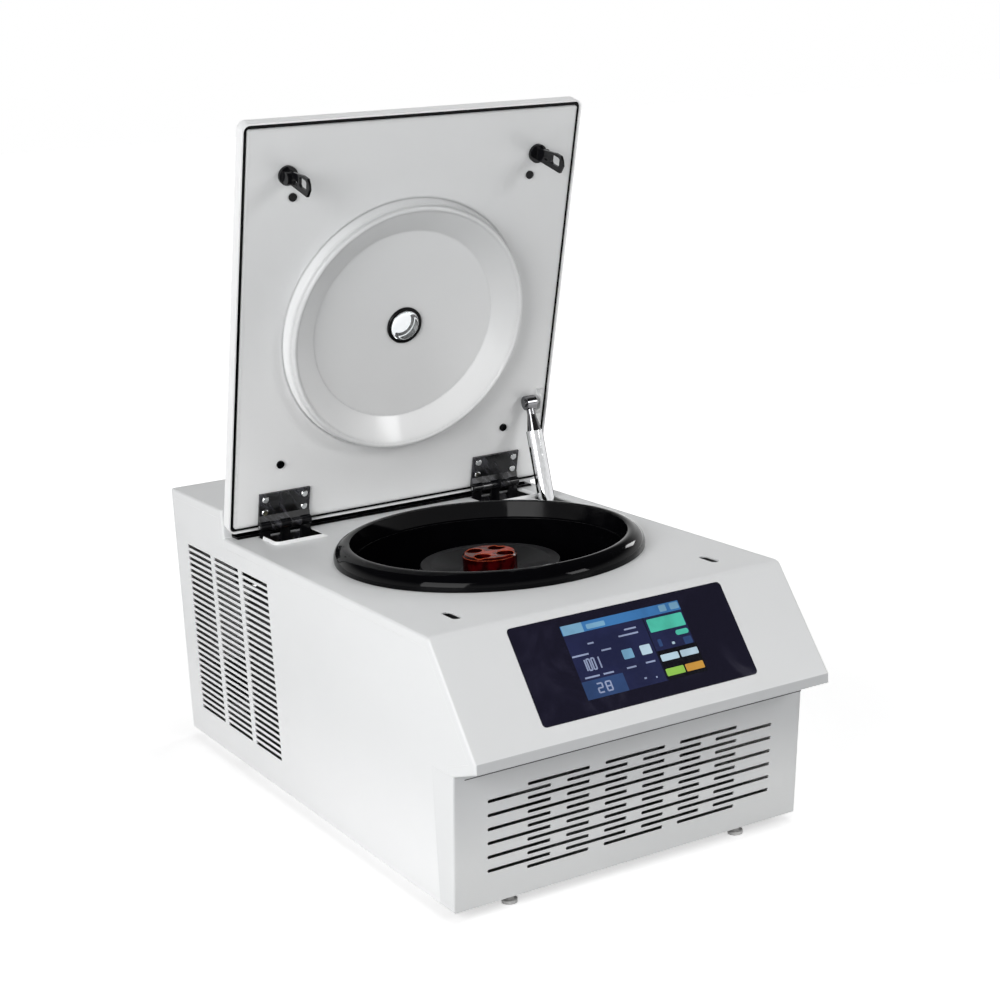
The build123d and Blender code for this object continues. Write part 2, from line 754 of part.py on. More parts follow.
bead_axis = Axis(lid_point(0, bead_v, 0), lid_inward)
bead_section = Plane(origin=lid_point(0, bead_v, 0), x_dir=(1, 0, 0), z_dir=lid_along * -1)
with BuildPart() as lid_inner_panel:
    with BuildSketch(lid_plane):
        with Locations((0, rim_centre)):
            RectangleRounded(panel_width, panel_length, lid_corner - rim_v)
    extrude(amount=-panel_flange)
    with BuildSketch(lid_plane.offset(-skin)):
        with Locations((0, rim_centre)):
            Rectangle(panel_width - 2 * skin, panel_length - 2 * skin)
    extrude(amount=-panel_flange, mode=Mode.SUBTRACT)
    # the pressed ring: its outer form, then the hollow behind it one sheet thickness below
    for depth, ring_mode in ((0, Mode.ADD), (skin, Mode.SUBTRACT)):
        foot = (bead_foot - depth, -depth)
        crest_start = (bead_crest_outer, bead_height * 0.88 - depth)
        crest_end = (bead_crest_inner, bead_height * 0.9 - depth)
        slope_end = (bead_inner + 2 * depth, -depth)
        with BuildSketch(bead_section):
            with BuildLine():
                Polyline(slope_end, (slope_end[0], -skin - depth), (foot[0], -skin - depth), foot)
                ThreePointArc(foot, (bead_foot - depth - 2.4, bead_height * 0.55 - depth), crest_start)
                ThreePointArc(
                    crest_start, ((bead_crest_outer + bead_crest_inner) / 2, bead_height - depth), crest_end
                )
                Line(crest_end, slope_end)
            make_face()
        revolve(axis=bead_axis, mode=ring_mode)
    with BuildSketch(lid_plane):
        with Locations((0, bead_v)):
            Circle(window_radius)
    extrude(amount=-skin, mode=Mode.SUBTRACT)
lid_inner_panel.part.label = "lid_inner_panel"
export_step(lid_inner_panel.part, "parts/lid_inner_panel.step")

with BuildPart() as lid_foam:
    with BuildSketch(lid_plane.offset(-skin)):
        with Locations((0, rim_centre)):
            Rectangle(panel_width - 2 * skin, panel_length - 2 * skin)
        with Locations((0, bead_v)):
            Circle(window_radius + window_ring, mode=Mode.SUBTRACT)
    extrude(amount=-(lid_thickness - 2 * skin))
lid_foam.part.label = "lid_foam"
export_step(lid_foam.part, "parts/lid_foam.step")

with BuildPart() as lid_edge_seal:
    with BuildSketch(lid_plane.offset(-3)):
        with Locations((0, rim_centre)):
            RectangleRounded(lid_width - 2 * lid_rim, lid_length - 2 * lid_rim, lid_corner - lid_rim)
            RectangleRounded(panel_width, panel_length, lid_corner - rim_v, mode=Mode.SUBTRACT)
    extrude(amount=-(panel_flange - 3))
lid_edge_seal.part.label = "lid_edge_seal"
export_step(lid_edge_seal.part, "parts/lid_edge_seal.step")

with BuildPart() as viewport_lens:
    with BuildSketch(lid_plane.offset(lens_crown)):
        with Locations((0, bead_v)):
            Circle(window_radius)
    extrude(amount=-(lid_thickness + lens_crown))
    crown_face = viewport_lens.faces().filter_by(GeomType.PLANE).sort_by(Axis(lid_origin, lid_inward))[-1]
    fillet(crown_face.edges(), lens_crown * 0.9)
viewport_lens.part.label = "viewport_lens"
export_step(viewport_lens.part, "parts/viewport_lens.step")

with BuildPart() as viewport_ring:
    with BuildSketch(lid_plane):
        with Locations((0, bead_v)):
            Circle(window_radius + window_ring)
            Circle(window_radius, mode=Mode.SUBTRACT)
    extrude(amount=3)
    outer_edges = viewport_ring.faces().sort_by(Axis(lid_origin, lid_inward))[-1].edges()
    chamfer(outer_edges.sort_by(SortBy.RADIUS)[-1], 1)
viewport_ring.part.label = "viewport_ring"
export_step(viewport_ring.part, "parts/viewport_ring.step")

with BuildPart() as lid_plugs:
    with BuildSketch(lid_plane):
        for plug_along in plug_v:
            with Locations((-plug_x, plug_along), (plug_x, plug_along)):
                Circle(plug_radius)
    extrude(amount=2)
lid_plugs.part.label = "lid_plugs"
export_step(lid_plugs.part, "parts/lid_plugs.step")

# ---------------------------------------------------------------- hinges
knuckle_length = hinge_width / knuckle_count
lid_knuckles = range(1, knuckle_count, 2)
stay_knuckles = range(0, knuckle_count, 2)


def knuckle_x(hinge_centre, index):
    """Middle of one knuckle along the hinge axis."""
    return hinge_centre + (index - (knuckle_count - 1) / 2) * knuckle_length


with BuildPart() as hinge_leaves:
    for centre in (-hinge_x, hinge_x):
        with BuildSketch(lid_section(centre)):
            with Locations((axis_v, axis_rise)):
                Circle(knuckle_radius)
            with BuildLine():
                Polyline(
                    (axis_v, axis_rise - knuckle_radius),
                    (axis_v + knuckle_radius, axis_rise),
                    (axis_v + 2.2 * knuckle_radius, leaf_thickness),
                    (leaf_length, leaf_thickness),
                    (leaf_length, 0),
                    (axis_v, 0),
                    close=True,
                )
            make_face()
        extrude(amount=hinge_width / 2, both=True)
        for index in stay_knuckles:
            with BuildSketch(lid_section(knuckle_x(centre, index))):
                with Locations((axis_v, axis_rise)):
                    Circle(knuckle_radius + 2 * running_gap)
            extrude(amount=knuckle_length / 2 + running_gap, both=True, mode=Mode.SUBTRACT)
        with BuildSketch(lid_section(centre)):
            with Locations((axis_v, axis_rise)):
                Circle(pin_radius + pin_clearance)
        extrude(amount=hinge_width, both=True, mode=Mode.SUBTRACT)
hinge_leaves.part.label = "hinge_leaves"
export_step(hinge_leaves.part, "parts/hinge_leaves.step")

stay_front_y = axis_y + axis_v
beam_front_y = stay_front_y + stay_thickness
with BuildPart() as hinge_stays:
    for side in (-1, 1):
        centre = side * hinge_x
        with BuildSketch(Plane.YZ.offset(centre)):
            with Locations((axis_y, axis_z)):
                Circle(knuckle_radius)
            with Locations((stay_front_y, axis_z)):
                Rectangle(stay_thickness, stay_drop, align=(Align.MIN, Align.MAX))
        extrude(amount=hinge_width / 2, both=True)
        for index in lid_knuckles:
            with BuildSketch(Plane.YZ.offset(knuckle_x(centre, index))):
                with Locations((axis_y, axis_z)):
                    Circle(lid_sweep)
            extrude(amount=knuckle_length / 2 + running_gap, both=True, mode=Mode.SUBTRACT)
        with BuildSketch(Plane.YZ.offset(centre)):
            with Locations((axis_y, axis_z)):
                Circle(pin_radius)
        extrude(amount=hinge_width, both=True, mode=Mode.SUBTRACT)
hinge_stays.part.label = "hinge_stays"
export_step(hinge_stays.part, "parts/hinge_stays.step")

with BuildPart() as hinge_pins:
    for side in (-1, 1):
        with BuildSketch(Plane.YZ.offset(side * hinge_x)):
            with Locations((axis_y, axis_z)):
                Circle(pin_radius)
        extrude(amount=hinge_width / 2 + 1, both=True)
hinge_pins.part.label = "hinge_pins"
export_step(hinge_pins.part, "parts/hinge_pins.step")

with BuildPart() as hinge_screws:
    with BuildSketch(lid_plane.offset(leaf_thickness)):
        for side in (-1, 1):
            with Locations((side * hinge_x, leaf_length - screw_inset - screw_spacing / 2)):
                with GridLocations(hinge_width - 2 * screw_inset, screw_spacing, 2, 2):
                    Circle(screw_radius)
    extrude(amount=screw_head)
    chamfer(hinge_screws.faces().group_by(Axis(lid_origin, lid_inward))[-1].edges(), screw_head / 2)
hinge_screws.part.label = "hinge_screws"
export_step(hinge_screws.part, "parts/hinge_screws.step")

beam_flange = step_y - beam_front_y
with BuildPart() as hinge_beam:
    with BuildSketch(Plane.YZ):
        with Locations((beam_front_y, under_deck_z)):
            Rectangle(stay_thickness, beam_depth, align=(Align.MIN, Align.MAX))
            Rectangle(beam_flange, stay_thickness, align=(Align.MIN, Align.MAX))
    extrude(amount=half_width - skin, both=True)
hinge_beam.part.label = "hinge_beam"
export_step(hinge_beam.part, "parts/hinge_beam.step")

# ---------------------------------------------------------------- lid hooks and locks
hook_root = hook_base_height + 2 * hook_barrel_radius
for side, name in ((-1, "left"), (1, "right")):
    with BuildPart() as lid_hook:
        with BuildSketch(lid_plane):
            with Locations((side * hook_x, hook_v)):
                Circle(hook_base_radius)
        extrude(amount=hook_base_height)
        with BuildSketch(lid_section(side * (hook_x - hook_thickness / 2))):
            with Locations((hook_v, hook_base_height)):
                Rectangle(1.5 * hook_barrel_radius, hook_barrel_radius, align=(Align.CENTER, Align.MIN))
            with Locations((hook_v, hook_base_height + hook_barrel_radius)):
                Circle(hook_barrel_radius)
        extrude(amount=side * hook_barrel_length)
        with BuildSketch(lid_section(side * hook_x)):
            with BuildLine():
                Polyline(
                    (hook_v - hook_back_edge, hook_base_height),
                    (hook_v + hook_back_edge, hook_base_height),
                    (hook_v + hook_front_edge * 0.7, hook_root),
                    (hook_v + hook_front_edge, hook_reach * 0.7),
                    (hook_v + hook_front_edge, hook_reach * 0.9),
                    (hook_v + hook_front_edge * 0.6, hook_reach * 0.97),
                    (hook_v + hook_front_edge * 0.2, hook_reach),
                    (hook_v - hook_back_edge, hook_reach * 0.92),
                    close=True,
                )
            make_face()
            with Locations((hook_v + hook_hole_offset, hook_hole_height)):
                RectangleRounded(*hook_hole_size, hook_hole_size[0] * 0.3, mode=Mode.SUBTRACT)
            with Locations((hook_v, hook_slit_height)):
                SlotOverall(*hook_slit, rotation=105, mode=Mode.SUBTRACT)
        extrude(amount=hook_thickness / 2, both=True)
    lid_hook.part.label = f"lid_hook_{name}"
    export_step(lid_hook.part, f"parts/lid_hook_{name}.step")

bolt_y = closed_edge_y - hook_v - hook_hole_offset
bolt_z = closed_plane_z - hook_hole_height
bolt_inner_x = hook_x + hook_thickness + bolt_overlap  # tip of the drawn bolt
lock_inner_x = hook_x - lock_body[0] / 2
lock_outer_x = bolt_inner_x + bolt_length + lock_end_room
for side, name in ((-1, "left"), (1, "right")):
    with BuildPart() as lock_unit:
        with BuildSketch(Plane.YZ.offset(side * lock_inner_x)):
            with Locations((lock_y, under_deck_z)):
                Rectangle(lock_body[1], lock_body[2], align=(Align.CENTER, Align.MAX))
        extrude(amount=side * (lock_outer_x - lock_inner_x))
        with BuildSketch(Plane.XY.offset(under_deck_z)):
            with Locations((side * hook_x, lock_y)):
                Rectangle(lock_slot[1], lock_slot[0] + skin)
        extrude(amount=-lock_body[2], mode=Mode.SUBTRACT)
        with BuildSketch(Plane.YZ.offset(side * (hook_x - lock_slot[1]))):
            with Locations((bolt_y, bolt_z)):
                Circle(bolt_radius + running_gap)
        extrude(amount=side * 2 * bolt_length, mode=Mode.SUBTRACT)
    lock_unit.part.label = f"lock_unit_{name}"
    export_step(lock_unit.part, f"parts/lock_unit_{name}.step")

    with BuildPart() as lock_bolt:
        with BuildSketch(Plane.YZ.offset(side * bolt_inner_x)):
            with Locations((bolt_y, bolt_z)):
                Circle(bolt_radius)
        extrude(amount=side * bolt_length)
        chamfer(lock_bolt.faces().sort_by(Axis.X)[0 if side > 0 else -1].edges(), 1)
    lock_bolt.part.label = f"lock_bolt_{name}"
    export_step(lock_bolt.part, f"parts/lock_bolt_{name}.step")

# ---------------------------------------------------------------- gas strut
ball_centre = lid_point(strut_x, ball_v, ball_height)
strut_down = Vector(0, -sin(radians(strut_lean)), -cos(radians(strut_lean)))
strut_plane = Plane(origin=ball_centre, x_dir=(1, 0, 0), z_dir=strut_down)
eye_centre = ball_centre + strut_down * strut_open_length
bracket_x = strut_x + socket_radius + bracket_gap

with BuildPart() as strut_bracket:
    with BuildSketch(lid_section(bracket_x)):
        with BuildLine():
            Polyline(
                (ball_v - bracket_length * 0.6, 0),
                (ball_v + bracket_length * 0.4, 0),
                (ball_v + 1.4 * ball_radius, ball_height + ball_radius),
                (ball_v - 1.4 * ball_radius, ball_height + ball_radius),
                close=True,
            )
        make_face()
    extrude(amount=leaf_thickness)
    with BuildSketch(lid_plane):
        with Locations((bracket_x, ball_v - bracket_length * 0.1)):
            Rectangle(bracket_flange, bracket_length, align=(Align.MIN, Align.CENTER))
    extrude(amount=leaf_thickness)
    with BuildSketch(lid_section(bracket_x)):
        with Locations((ball_v, ball_height)):
            Circle(ball_radius * 0.6)
    extrude(amount=strut_x - bracket_x)
    with Locations(ball_centre):
        Sphere(ball_radius, rotation=(0, 0, 180))
strut_bracket.part.label = "strut_bracket"
export_step(strut_bracket.part, "parts/strut_bracket.step")

with BuildPart() as strut_socket:
    with BuildSketch(lid_section(strut_x)):
        with Locations((ball_v, ball_height)):
            Circle(socket_radius)
    extrude(amount=ball_radius + 2, both=True)
    with BuildSketch(lid_section(strut_x - ball_radius - 2)):
        with Locations((ball_v, ball_height)):
            Circle(ball_radius)
    extrude(amount=-2)
    with BuildSketch(strut_plane):
        Circle(socket_waist)
    extrude(amount=socket_waist_end)
    for radius, distance in ((socket_waist, socket_waist_end), (socket_skirt, socket_length)):
        with BuildSketch(strut_plane.offset(distance)):
            Circle(radius)
    loft()
    with Locations(ball_centre):
        Sphere(ball_radius + running_gap, rotation=(0, 0, 180), mode=Mode.SUBTRACT)
    with BuildSketch(lid_section(strut_x)):
        with Locations((ball_v, ball_height)):
            Circle(ball_radius * 0.6 + running_gap)
    extrude(amount=socket_radius, mode=Mode.SUBTRACT)
strut_socket.part.label = "strut_socket"
export_step(strut_socket.part, "parts/strut_socket.step")

with BuildPart() as strut_tube:
    with BuildSketch(strut_plane.offset(socket_length)):
        Circle(tube_radius)
    extrude(amount=tube_end - socket_length)
    with BuildSketch(strut_plane.offset(socket_length + tube_cap)):
        Circle(rod_radius + running_gap)
    extrude(amount=tube_end, mode=Mode.SUBTRACT)
strut_tube.part.label = "strut_tube"
export_step(strut_tube.part, "parts/strut_tube.step")

with BuildPart() as strut_rod:
    with BuildSketch(strut_plane.offset(rod_start)):
        Circle(rod_radius)
    extrude(amount=strut_open_length - rod_start)
    with BuildSketch(Plane.YZ.offset(strut_x)):
        with Locations((eye_centre.Y, eye_centre.Z)):
            Circle(eye_radius)
    extrude(amount=eye_width / 2, both=True)
strut_rod.part.label = "strut_rod"
export_step(strut_rod.part, "parts/strut_rod.step")

stud_length = half_width - skin - strut_x - eye_width / 2 - eye_gap
with BuildPart() as strut_anchor:
    with BuildSketch(Plane.YZ.offset(half_width - skin)):
        with Locations((eye_centre.Y, eye_centre.Z)):
            RectangleRounded(*anchor_plate, bend_radius)
    extrude(amount=-leaf_thickness)
    for radius, length in (
        (anchor_boss_radius, stud_length - anchor_stud_length),
        (anchor_stud_radius, stud_length),
    ):
        with BuildSketch(Plane.YZ.offset(half_width - skin)):
            with Locations((eye_centre.Y, eye_centre.Z)):
                Circle(radius)
        extrude(amount=-length)
strut_anchor.part.label = "strut_anchor"
export_step(strut_anchor.part, "parts/strut_anchor.step")

# ---------------------------------------------------------------- gutter at the foot of the step
with BuildPart() as rear_gutter:
    with BuildSketch(Plane.YZ):
        with BuildLine():
            Polyline(
                (hinge_cut_rear + 1, deck_z),
                (step_y, deck_z),
                (step_y, deck_z + gutter_height),
                (step_y - gutter_wall, deck_z + gutter_height),
                (step_y - gutter_wall, deck_z + gutter_wall),
                (hinge_cut_rear + 1 + gutter_wall, deck_z + gutter_wall),
                (hinge_cut_rear + 1, deck_z + gutter_wall / 2),
                close=True,
            )
        make_face()
    extrude(amount=half_width - flange, both=True)
rear_gutter.part.label = "rear_gutter"
export_step(rear_gutter.part, "parts/rear_gutter.step")

# ---------------------------------------------------------------- screen
with BuildPart() as screen_glass:
    with BuildSketch(slope_plane):
        with Locations((0, glass_y)):
            RectangleRounded(glass_width, glass_length, glass_corner)
    extrude(amount=-glass_thickness)
screen_glass.part.label = "screen_glass"
export_step(screen_glass.part, "parts/screen_glass.step")

standoff_spacing = (board_size[0] - 12, board_size[1] - 10)
board_top = -skin - bracket_depth - standoff_length
with BuildPart() as screen_bracket:
    with BuildSketch(slope_plane.offset(-skin)):
        with Locations((0, glass_y)):
            RectangleRounded(glass_width + 2 * bracket_rim, glass_length + 2 * bracket_rim, glass_corner)
    extrude(amount=-bracket_depth)
    with BuildSketch(slope_plane.offset(-skin)):
        with Locations((0, glass_y)):
            RectangleRounded(glass_width, glass_length, glass_corner)
    extrude(amount=-(glass_thickness - skin), mode=Mode.SUBTRACT)
    with BuildSketch(slope_plane):
        with Locations((0, -lcd_offset)):
            Rectangle(lcd_size[0] + 2 * running_gap, lcd_size[1] + 2 * running_gap)
    extrude(amount=-(skin + bracket_depth), mode=Mode.SUBTRACT)
    with BuildSketch(slope_plane.offset(-skin - bracket_depth)):
        with Locations((0, -lcd_offset)):
            with GridLocations(*standoff_spacing, 2, 2):
                Circle(standoff_radius)
    extrude(amount=-standoff_length)
screen_bracket.part.label = "screen_bracket"
export_step(screen_bracket.part, "parts/screen_bracket.step")

with BuildPart() as lcd_module:
    with BuildSketch(slope_plane.offset(-glass_thickness)):
        with Locations((0, -lcd_offset)):
            Rectangle(lcd_size[0], lcd_size[1])
    extrude(amount=-lcd_size[2])
lcd_module.part.label = "lcd_module"
export_step(lcd_module.part, "parts/lcd_module.step")

with BuildPart() as control_board:
    with BuildSketch(slope_plane.offset(board_top)):
        with Locations((0, -lcd_offset)):
            RectangleRounded(board_size[0], board_size[1], 3)
    extrude(amount=-board_size[2])
    with BuildSketch(slope_plane.offset(board_top - board_size[2])):
        with Locations((-20, -lcd_offset - 10)):
            Rectangle(24, 24)
        with Locations((30, -lcd_offset + 20)):
            Rectangle(40, 9)
        with Locations((60, -lcd_offset - 18)):
            Rectangle(14, 20)
    extrude(amount=-chip_height)
control_board.part.label = "control_board"
export_step(control_board.part, "parts/control_board.step")

# ---------------------------------------------------------------- electronics on the base
supply_place = (supply_inset - half_width, bowl_y + supply_offset)
inverter_place = (half_width - inverter_inset, bowl_y + inverter_offset)
with BuildPart() as power_supply:
    with BuildSketch(Plane.XY.offset(base_top_z)):
        with Locations(supply_place):
            Rectangle(supply_size[0], supply_size[1])
    extrude(amount=supply_size[2])
    with BuildSketch(Plane.XY.offset(base_top_z + supply_size[2])):
        with Locations(supply_place):
            with GridLocations(0, 12, 1, 11):
                SlotOverall(supply_size[0] - 30, 5)
    extrude(amount=-skin, mode=Mode.SUBTRACT)
power_supply.part.label = "power_supply"
export_step(power_supply.part, "parts/power_supply.step")

fin_pitch = inverter_size[0] / inverter_fins
with BuildPart() as drive_inverter:
    with BuildSketch(Plane.XY.offset(base_top_z)):
        with Locations(inverter_place):
            Rectangle(inverter_size[0], inverter_size[1])
    extrude(amount=inverter_size[2])
    with BuildSketch(Plane.XY.offset(base_top_z + inverter_size[2])):
        with Locations(inverter_place):
            with GridLocations(fin_pitch, 0, inverter_fins - 1, 1):
                Rectangle(fin_pitch * 0.6, inverter_size[1])
    extrude(amount=-inverter_size[2] * 0.4, mode=Mode.SUBTRACT)
drive_inverter.part.label = "drive_inverter"
export_step(drive_inverter.part, "parts/drive_inverter.step")

# ---------------------------------------------------------------- cooling unit
with BuildPart() as rubber_mounts:
    with BuildSketch(Plane.XY.offset(base_top_z)):
        with Locations((0, bowl_y)):
            with PolarLocations(mount_plate_radius - 1.3 * mount_radius, 4, start_angle=45):
                Circle(mount_radius)
    extrude(amount=damper_height)
    with BuildSketch(Plane.XY.offset(base_top_z)):
        with Locations(compressor_place):
            with GridLocations(compressor_foot_spread, compressor_foot_spread, 2, 2):
                Circle(mount_radius)
    extrude(amount=grommet_height)
rubber_mounts.part.label = "rubber_mounts"
export_step(rubber_mounts.part, "parts/rubber_mounts.step")

compressor_plate = compressor_foot_spread + 3 * mount_radius

with BuildPart() as compressor:
    with BuildSketch(Plane.XY.offset(compressor_foot_z)):
        with Locations(compressor_place):
            RectangleRounded(compressor_plate, compressor_plate, 1.3 * mount_radius)
    extrude(amount=compressor_foot)
    with BuildSketch(Plane.XY.offset(compressor_foot_z + compressor_foot)):
        with Locations(compressor_place):
            Circle(compressor_radius)
    extrude(amount=compressor_height)
    fillet(compressor.faces().sort_by(Axis.Z)[-1].edges(), compressor_radius * 0.4)
    with BuildSketch(Plane.XY.offset(compressor_foot_z + compressor_foot + compressor_height * 0.55)):
        with Locations(compressor_place):
            Circle(compressor_radius + 3)
    extrude(amount=8)
compressor.part.label = "compressor"
export_step(compressor.part, "parts/compressor.step")

condenser_x = half_width - condenser_inset[0]
condenser_y = rear_y - condenser_inset[1]
condenser_place = (condenser_x, condenser_y)
condenser_front_x = condenser_x - condenser_size[0] / 2
condenser_top_z = axis_z - stay_drop - condenser_drop
condenser_height = condenser_top_z - base_top_z
fan_z = base_top_z + condenser_height / 2
with BuildPart() as condenser:
    with BuildSketch(Plane.XY.offset(base_top_z)):
        with Locations(condenser_place):
            Rectangle(condenser_size[0], condenser_size[1])
    extrude(amount=condenser_height)
    for face_x in (condenser_front_x, condenser_front_x + condenser_size[0] - fin_depth):
        with BuildSketch(Plane.YZ.offset(face_x)):
            with Locations((condenser_y, fan_z)):
                with GridLocations(condenser_fin_pitch, 0, condenser_fins, 1):
                    Rectangle(condenser_fin_pitch * 0.5, condenser_height - 2 * condenser_rim)
        extrude(amount=fin_depth, mode=Mode.SUBTRACT)
condenser.part.label = "condenser"
export_step(condenser.part, "parts/condenser.step")

shroud_x = condenser_front_x - shroud_depth
with BuildPart() as fan_shroud:
    with BuildSketch(Plane.YZ.offset(shroud_x)):
        with Locations((condenser_y, fan_z)):
            Rectangle(condenser_size[1], condenser_height)
            Circle(fan_radius + shroud_gap, mode=Mode.SUBTRACT)
    extrude(amount=shroud_depth)
fan_shroud.part.label = "fan_shroud"
export_step(fan_shroud.part, "parts/fan_shroud.step")

fan_front_x = shroud_x + shroud_depth - 3
fan_rear_x = fan_front_x - fan_hub_length
motor_front_x = fan_rear_x - 2
fan_axis_plane = Plane(origin=(fan_rear_x, condenser_y, fan_z), x_dir=(0, 1, 0), z_dir=(1, 0, 0))
with BuildPart() as condenser_fan:
    with BuildSketch(fan_axis_plane):
        Circle(fan_hub_radius)
    extrude(amount=fan_hub_length)
    with BuildSketch(fan_axis_plane.offset(2 - fan_motor_length / 2)):
        Circle(fan_shaft_radius)
    extrude(amount=fan_motor_length / 2 - 2)
    blade_middle = Vector(fan_rear_x + fan_hub_length / 2, condenser_y, fan_z)
    for index in range(fan_blades):
        turn = radians(360 * index / fan_blades)
        outwards = Vector(0, cos(turn), sin(turn))
        for reach, chord, pitch in ((fan_hub_radius - 4, 20, 42), (fan_radius, 46, 24)):
            along = Vector(sin(radians(pitch)), 0, 0) + outwards.cross(Vector(1, 0, 0)) * cos(radians(pitch))
            blade_plane = Plane(origin=blade_middle + outwards * reach, x_dir=along, z_dir=outwards)
            with BuildSketch(blade_plane):
                Rectangle(chord, blade_thickness)
        loft()
condenser_fan.part.label = "condenser_fan"
export_step(condenser_fan.part, "parts/condenser_fan.step")

with BuildPart() as fan_motor:
    motor_plane = Plane(origin=(motor_front_x, condenser_y, fan_z), x_dir=(0, 1, 0), z_dir=(-1, 0, 0))
    with BuildSketch(motor_plane):
        Circle(fan_motor_radius)
    extrude(amount=fan_motor_length)
    arm_reach = fan_radius + shroud_gap + 8
    for turn in (90, 210, 330):
        arm_plane = motor_plane.rotated((turn, 0, 0))
        with BuildSketch(arm_plane.offset(6)):
            with Locations((fan_motor_radius - 4, 0)):
                Rectangle(arm_reach - fan_motor_radius + 4, 10, align=(Align.MIN, Align.CENTER))
        extrude(amount=3)
        with BuildSketch(arm_plane.offset(9)):
            with Locations((arm_reach, 0)):
                Rectangle(3, 10, align=(Align.MAX, Align.CENTER))
        extrude(amount=-(9 + shroud_x - motor_front_x))
    with BuildSketch(motor_plane):
        Circle(fan_shaft_radius + running_gap)
    extrude(amount=fan_motor_length / 2 + 2, mode=Mode.SUBTRACT)
fan_motor.part.label = "fan_motor"
export_step(fan_motor.part, "parts/fan_motor.step")

crossing_z = condenser_top_z + 2 * pipe_bend
discharge_start = Vector(compressor_x + pipe_spread, compressor_y + pipe_spread, compressor_top_z)
discharge_corners = [
    discharge_start,
    (discharge_start.X, discharge_start.Y, crossing_z),
    (condenser_x, discharge_start.Y, crossing_z),
    (condenser_x, discharge_start.Y, condenser_top_z),
]
suction_start = Vector(suction_x, compressor_y - pipe_spread, compressor_top_z)
suction_corners = [
    suction_start,
    (suction_x, suction_start.Y, suction_z),
    (suction_x, suction_end_y, suction_z),
]
with BuildPart() as copper_pipes:
    for corners in (discharge_corners, suction_corners):
        with BuildLine() as pipe_path:
            FilletPolyline(*corners, radius=pipe_bend)
        with BuildSketch(Plane(origin=corners[0], z_dir=(0, 0, 1))):
            Circle(pipe_radius)
        sweep(path=pipe_path.line)
copper_pipes.part.label = "copper_pipes"
export_step(copper_pipes.part, "parts/copper_pipes.step")

# ---------------------------------------------------------------- mains inlet and switch
socket_z = inlet_z - 14
rocker_z = inlet_z + 16
rocker_swing_room = rocker_depth * sin(radians(rocker_travel / 2)) + running_gap
with BuildPart() as power_inlet:
    with BuildSketch(Plane.XZ.offset(-panel_outer_y)):
        with Locations((inlet_x, inlet_z)):
            RectangleRounded(*inlet_size, 3)
    extrude(amount=-skin)
    with BuildSketch(Plane.XZ.offset(-panel_outer_y)):
        with Locations((inlet_x, inlet_z)):
            Rectangle(inlet_size[0] - 2 * inlet_rim, inlet_size[1] - 2 * inlet_rim)
    extrude(amount=inlet_depth)
    with BuildSketch(Plane.XZ.offset(-rear_y)):
        with Locations((inlet_x, socket_z)):
            RectangleRounded(*socket_size, 3)
        with Locations((inlet_x, rocker_z)):
            Rectangle(rocker_size[0] + 2 * running_gap, rocker_size[1] + 2 * rocker_swing_room)
    extrude(amount=socket_depth, mode=Mode.SUBTRACT)
    with BuildSketch(Plane.XZ.offset(-(rear_y - socket_depth))):
        with Locations((inlet_x - 7, socket_z - 2), (inlet_x, socket_z + 3), (inlet_x + 7, socket_z - 2)):
            Rectangle(2, 4)
    extrude(amount=-(socket_depth - 8))
power_inlet.part.label = "power_inlet"
export_step(power_inlet.part, "parts/power_inlet.step")

rocker_pivot = Vector(inlet_x, rear_y - rocker_depth, rocker_z)
rocker_plane = Plane(origin=rocker_pivot, x_dir=(0, 1, 0), z_dir=(1, 0, 0))
rocker_plane = rocker_plane.rotated((rocker_travel / 2, 0, 0))
with BuildPart() as power_switch:
    with BuildSketch(rocker_plane):
        with BuildLine():
            rocker_top = rocker_depth - 2
            rocker_end = rocker_size[1] / 2
            Polyline(
                (rocker_top, -rocker_end),
                (1, -rocker_end * 0.8),
                (-5, 0),
                (1, rocker_end * 0.8),
                (rocker_top, rocker_end),
            )
            ThreePointArc((rocker_top, rocker_end), (rocker_top - 1.2, 0), (rocker_top, -rocker_end))
        make_face()
    extrude(amount=rocker_size[0] / 2, both=True)
power_switch.part.label = "power_switch"
export_step(power_switch.part, "parts/power_switch.step")

with BuildPart() as rear_screws:
    with BuildSketch(Plane.XZ.offset(-panel_outer_y)):
        for screw_x in (-half_width + flange + rear_screw_inset, half_width - flange - rear_screw_inset):
            with Locations((screw_x, (base_top_z + cover_bottom_z) / 2)):
                with GridLocations(0, rear_screw_pitch, 1, 3):
                    Circle(screw_radius)
    extrude(amount=-screw_head)
    chamfer(rear_screws.faces().group_by(Axis.Y)[-1].edges(), screw_head / 2)
rear_screws.part.label = "rear_screws"
export_step(rear_screws.part, "parts/rear_screws.step")
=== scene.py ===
"""Finishes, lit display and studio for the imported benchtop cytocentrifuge.

Metres, +Z up, the screen faces -Y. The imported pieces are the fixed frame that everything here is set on.
"""
from math import pi

import bpy
import numpy as np
from bpy.props import FloatProperty, FloatVectorProperty, PointerProperty
from mathutils import Matrix, Vector


